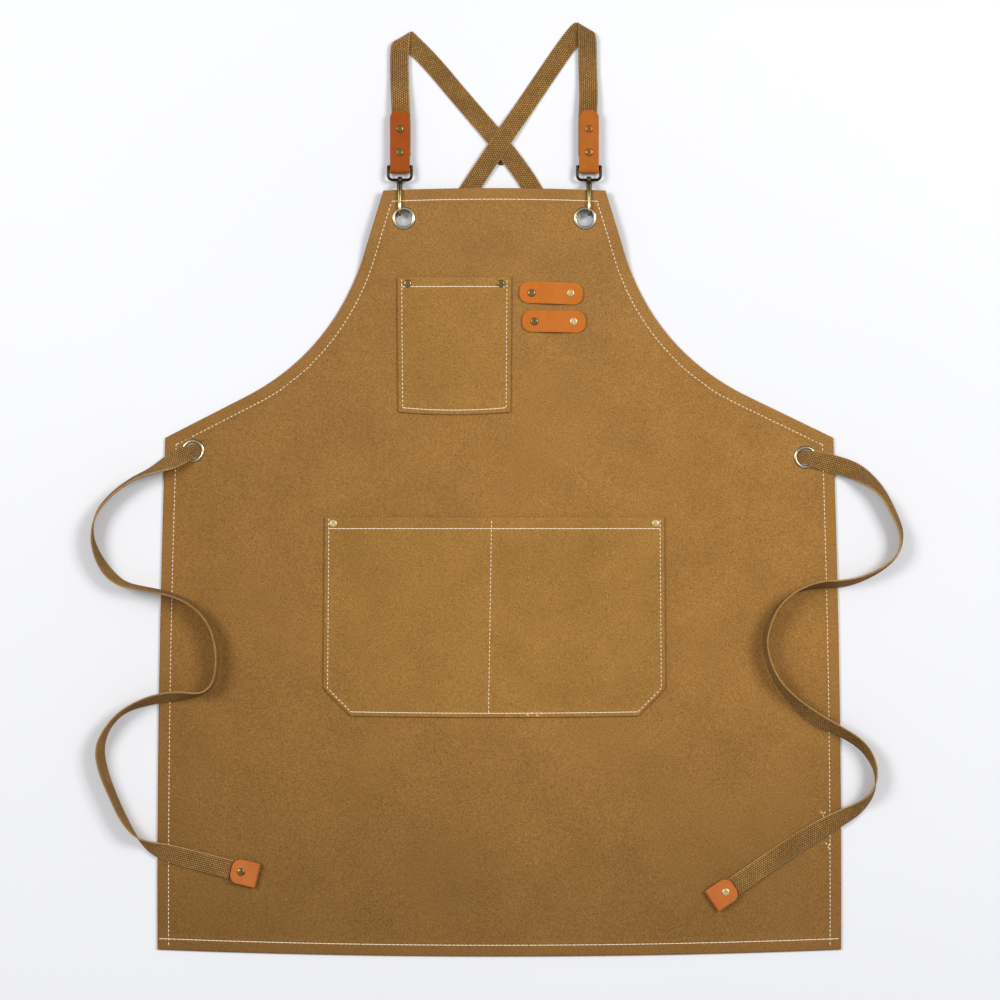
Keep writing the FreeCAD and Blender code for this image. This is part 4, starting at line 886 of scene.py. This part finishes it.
def turned_part(name, places, profile, materials, steps=28, finish=lambda index, radius: 0):
    """One lathe-turned shape at each place (x, y, z), from its (radius, height) profile."""
    bm = bmesh.new()
    for index, (x, y, z) in enumerate(places):
        before = set(bm.faces)
        ring = [bm.verts.new(Vector((x + radius, y, z + rise)) * MM) for radius, rise in profile]
        edges = [bm.edges.new(pair) for pair in zip(ring, ring[1:])]
        bmesh.ops.spin(bm, geom=ring + edges, cent=Vector((x, y, z)) * MM, axis=(0, 0, 1), angle=math.tau,
                       steps=steps, use_merge=True, use_duplicate=False, dvec=(0, 0, 0))
        for face in set(bm.faces) - before:
            from_centre = face.calc_center_median() / MM - Vector((x, y, z))
            face.material_index = finish(index, from_centre.to_2d().length)
    bmesh.ops.remove_doubles(bm, verts=bm.verts, dist=2e-6)
    bmesh.ops.recalc_face_normals(bm, faces=bm.faces)
    piece = finish_mesh(name, bm, materials)
    return piece


def give_metal(node, metal):
    """The node keeps its own shape and takes this metal."""
    nodes[node].data.materials.clear()
    nodes[node].data.materials.append(metal)


CHEST_RIVET_Y, LOWER_RIVET_Y = 256.0, 10.5
TAB_RIVETS_Y, TAB_CAP_HEIGHT = (413.7, 389.7), 9.1
END_RIVET, END_CAP_HEIGHT = 10.5, 8.15
RIVETS = {
    "chest_pocket_rivets": [(x, CHEST_RIVET_Y, pocket_top(CHEST_POCKET, x, CHEST_RIVET_Y))
                            for x in (-93.6, 1.6)],
    "lower_pocket_rivets": [(x, LOWER_RIVET_Y, pocket_top(LOWER_POCKET, x, LOWER_RIVET_Y))
                            for x in (-169.9, 159.9)],
    "tool_loop_rivets": [(x + side * LOOP_RIVET, y, panel_top(x, y) + LOOP_THICK)
                         for x, y, _ in LOOPS.values() for side in (-1, 1)],
}
for side, x in HOOK_X.items():
    RIVETS[side + "_hook_tab_rivets"] = [(x, y, TAB_CAP_HEIGHT) for y in TAB_RIVETS_Y]
for node, (x, y, turn) in END_TABS.items():
    across, up = END_RIVET * math.cos(math.radians(turn)), END_RIVET * math.sin(math.radians(turn))
    RIVETS[node + "_rivets"] = [(x + across, y + up, END_CAP_HEIGHT)]
# These caps are rubbed bright all over.
BRIGHT_CAPS = {"tool_loop_rivets": (1, 3), "right_end_tab_rivets": (0,), "lower_pocket_rivets": (0, 1)}
caps = {}
for node, places in RIVETS.items():
    top = copper_brass if node.startswith("right_hook") else antique_brass
    rubbed = BRIGHT_CAPS.get(node, ())
    caps[node] = turned_part(node + "_caps", places, CAP_PROFILE, [top, bright_brass],
                             finish=lambda index, radius: int(index in rubbed))
    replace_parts(caps[node], node)
    give_metal(node.replace("rivets", "rivet_backs"), dark_brass_and_shade)

# The eyelets: rolled brass rings, two in the bib and two at the sides, each closed on a washer.
# A band round the rim is a painted highlight, and its bore and outer edge are painted dark, painted shade.
RIM_SEAT = 14
# Between these radii a rim carries its painted highlight; its bore and outer edge carry painted shade.
RIM_HIGHLIGHT = (9.2, 11.1)
EYELET_PROFILE = ((8.5, -2.2), (8.45, -0.8), (8.6, 0.1), (9.0, 0.62), (9.7, 0.9), (10.5, 0.85),
                  (11.2, 0.55), (11.7, 0.1), (11.8, -0.25), (11.3, -0.4), (9.6, -0.3), (9.3, -2.2))
for side, (bib_x, bib_y), (side_x, side_y) in (("left", BIB_EYELETS[0], SIDE_EYELETS[0]),
                                               ("right", BIB_EYELETS[1], SIDE_EYELETS[1])):
    for kind, x, y in (("bib", bib_x, bib_y), ("side", side_x, side_y)):
        high = panel_top(x + RIM_SEAT, y)
        rim = turned_part(f"{side}_{kind}_eyelet_rim", [(x, y, high)], EYELET_PROFILE + EYELET_PROFILE[:1],
                          [rim_highlight_brass, dark_brass_and_shade], 48,
                          lambda index, radius: int(radius < RIM_HIGHLIGHT[0] or radius > RIM_HIGHLIGHT[1]))
        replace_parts(rim, f"{side}_{kind}_eyelet")
        give_metal(f"{side}_{kind}_washer", dark_brass_and_shade)

# The snap hooks, their gates and the swivel rings: die-cast in the same brass, and sprung with steel.
# A hook's head is painted dark, painted shade that fades down its shank, and a bright band where it narrows
# is a painted highlight.
spring_steel, tree, shader = new_material("spring_steel", {"Metallic": 1.0, "Roughness": 0.3})
place = add(tree, "ShaderNodeTexCoord").outputs["Object"]
drawn = add(tree, "ShaderNodeTexNoise", {"Vector": place, "Scale": 900.0, "Detail": 2.0})
steel = paint(tree, "8E9094", ((drawn.outputs[0], 0.0, 1.0, 0.0, 1.0, "5E6064"),))
tree.links.new(steel, shader.inputs["Base Color"])
HEAD_Y, SWIVEL_Z = (355.2, 359.6), 6.7
BEND_Y, BEND_RADIUS, WIRE = 331.1, 5.2, 1.4
# Down the shank and round the bend: y, z, half width, half depth.
HOOK_PATH = [(359.6, 11.0, 2.2, 1.6), (359.2, 11.1, 2.7, 2.0), (355.5, 11.4, 2.8, 1.9),
             (351, 11.7, 2.5, 1.6), (346, 11.9, 2.2, 1.45), (341, 11.9, 1.85, WIRE),
             (336.5, 12.0, 1.65, 1.5), (335, 12.1, 1.9, 1.7), (333.4, 12.0, 1.6, 1.5)]
HOOK_PATH += [(BEND_Y - BEND_RADIUS * math.sin(a), SWIVEL_Z + BEND_RADIUS * math.cos(a), WIRE, WIRE)
              for a in (k * math.pi / 12 for k in range(13))]
HOOK_PATH += [(338, 1.5, WIRE, WIRE), (346.4, 1.5, WIRE, WIRE), (346.9, 1.5, 0.9, 0.9)]
# The head's blocks, either side of the gate's slot and above it: low and high corners.
HEAD_BLOCKS = (((-2.5, HEAD_Y[0], 4.7), (2.5, HEAD_Y[1], 11.6)),
               ((-2.5, HEAD_Y[0], 0.2), (-1.05, HEAD_Y[1], 4.7)),
               ((1.95, HEAD_Y[0], 0.2), (2.5, HEAD_Y[1], 4.7)))
HEAD_BEVEL = 0.2
# The swivel's post and its riveted end: y from, y to, radius.
SWIVEL_TURNS = ((358.6, 364.8, 1.3), (363.8, 365.0, 2.3))
HOOK_SIDES = 16


def snap_hook(name, x, body):
    """The hook in one casting: shank, bend, return leg, slotted head and swivel post."""
    bm = bmesh.new()
    bmesh.ops.create_grid(bm, x_segments=HOOK_SIDES, y_segments=len(HOOK_PATH) - 1, size=1)
    for v in bm.verts:
        turn = (v.co.x + 1) * math.pi
        j = round((v.co.y + 1) / 2 * (len(HOOK_PATH) - 1))
        before, after = HOOK_PATH[max(j - 1, 0)], HOOK_PATH[min(j + 1, len(HOOK_PATH) - 1)]
        along = Vector((after[0] - before[0], after[1] - before[1])).normalized()
        y, z, wide, deep = HOOK_PATH[j]
        off = deep * math.sin(turn)
        v.co = Vector((x + wide * math.cos(turn), y - along.y * off, z + along.x * off)) * MM
    bmesh.ops.remove_doubles(bm, verts=bm.verts, dist=1e-6)
    bmesh.ops.holes_fill(bm, edges=[e for e in bm.edges if e.is_boundary], sides=0)
    for low, high in HEAD_BLOCKS:
        middle, size = (Vector(low) + Vector(high)) / 2, Vector(high) - Vector(low)
        matrix = Matrix.Translation((middle + Vector((x, 0, 0))) * MM) @ Matrix.Diagonal((*size * MM, 1))
        made = bmesh.ops.create_cube(bm, size=1, matrix=matrix)["verts"]
        edges = list({e for v in made for e in v.link_edges})
        bmesh.ops.bevel(bm, geom=edges, offset=HEAD_BEVEL * MM, segments=2, affect="EDGES", profile=0.5)
    for start, end, radius in SWIVEL_TURNS:
        matrix = Matrix.Translation(Vector((x, (start + end) / 2, SWIVEL_Z)) * MM)
        matrix @= Matrix.Rotation(math.pi / 2, 4, "X")
        bmesh.ops.create_cone(bm, cap_ends=True, segments=24, radius1=radius * MM, radius2=radius * MM,
                              depth=(end - start) * MM, matrix=matrix)
    bmesh.ops.recalc_face_normals(bm, faces=bm.faces)
    hook = finish_mesh(name, bm, [shaded_hook_brass], body)
    return hook


for side, x in HOOK_X.items():
    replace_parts(snap_hook(side + "_hook_casting", x, side + "_hook"), side + "_hook")
    for part, metal in (("swivel_ring", dark_brass_and_shade), ("gate", antique_brass), ("gate_pin", dark_brass_and_shade),
                        ("gate_spring", spring_steel)):
        give_metal(f"{side}_{part}", metal)

# The table: a plain pale sweep of paper.
# It isn't part of the apron.
paper, tree, shader = new_material("pale_paper", {"Roughness": 0.9})
place = add(tree, "ShaderNodeTexCoord").outputs["Object"]
tint = add(tree, "ShaderNodeTexNoise", {"Vector": place, "Scale": 2.0, "Detail": 1.0})
sheet = paint(tree, "DFDFE1", ((tint.outputs[0], 0.0, 1.0, 0.0, 1.0, "E4E4E6"),))
tree.links.new(sheet, shader.inputs["Base Color"])
TABLE_HALF = 3.0
table_bm = bmesh.new()
bmesh.ops.create_grid(table_bm, x_segments=4, y_segments=4, size=TABLE_HALF)
table_mesh = bpy.data.meshes.new("paper_table")
table_bm.to_mesh(table_mesh)
table_bm.free()
table_mesh.materials.append(paper)
table = bpy.data.objects.new("paper_table", table_mesh)
bpy.context.scene.collection.objects.link(table)

# The light: two broad soft boxes, upper left and upper right, and an even pale room.
# The right one is a little stronger, and the room fills in the shade.
SOFT_BOX_SIZE, LIT_PLACE, ROOM_STRENGTH = 1.4, Vector((0, 0.1, 0)), 0.42
for name, place, power in (("left_softbox", (-2.4, 0.95, 2.75), 80),
                           ("right_softbox", (2.4, 1.05, 2.75), 92)):
    light_data = bpy.data.lights.new(name, "AREA")
    light_data.shape = "SQUARE"
    light_data.size = SOFT_BOX_SIZE
    light_data.energy = power
    light = bpy.data.objects.new(name, light_data)
    light.location = place
    light.rotation_euler = (LIT_PLACE - Vector(place)).to_track_quat("-Z", "Y").to_euler()
    bpy.context.scene.collection.objects.link(light)
world = bpy.data.worlds.new("pale_room")
world.use_nodes = True
world.node_tree.nodes["Background"].inputs[0].default_value = linear("F4F6FA")
world.node_tree.nodes["Background"].inputs[1].default_value = ROOM_STRENGTH
bpy.context.scene.world = world
bpy.context.scene.view_settings.view_transform = "Standard"
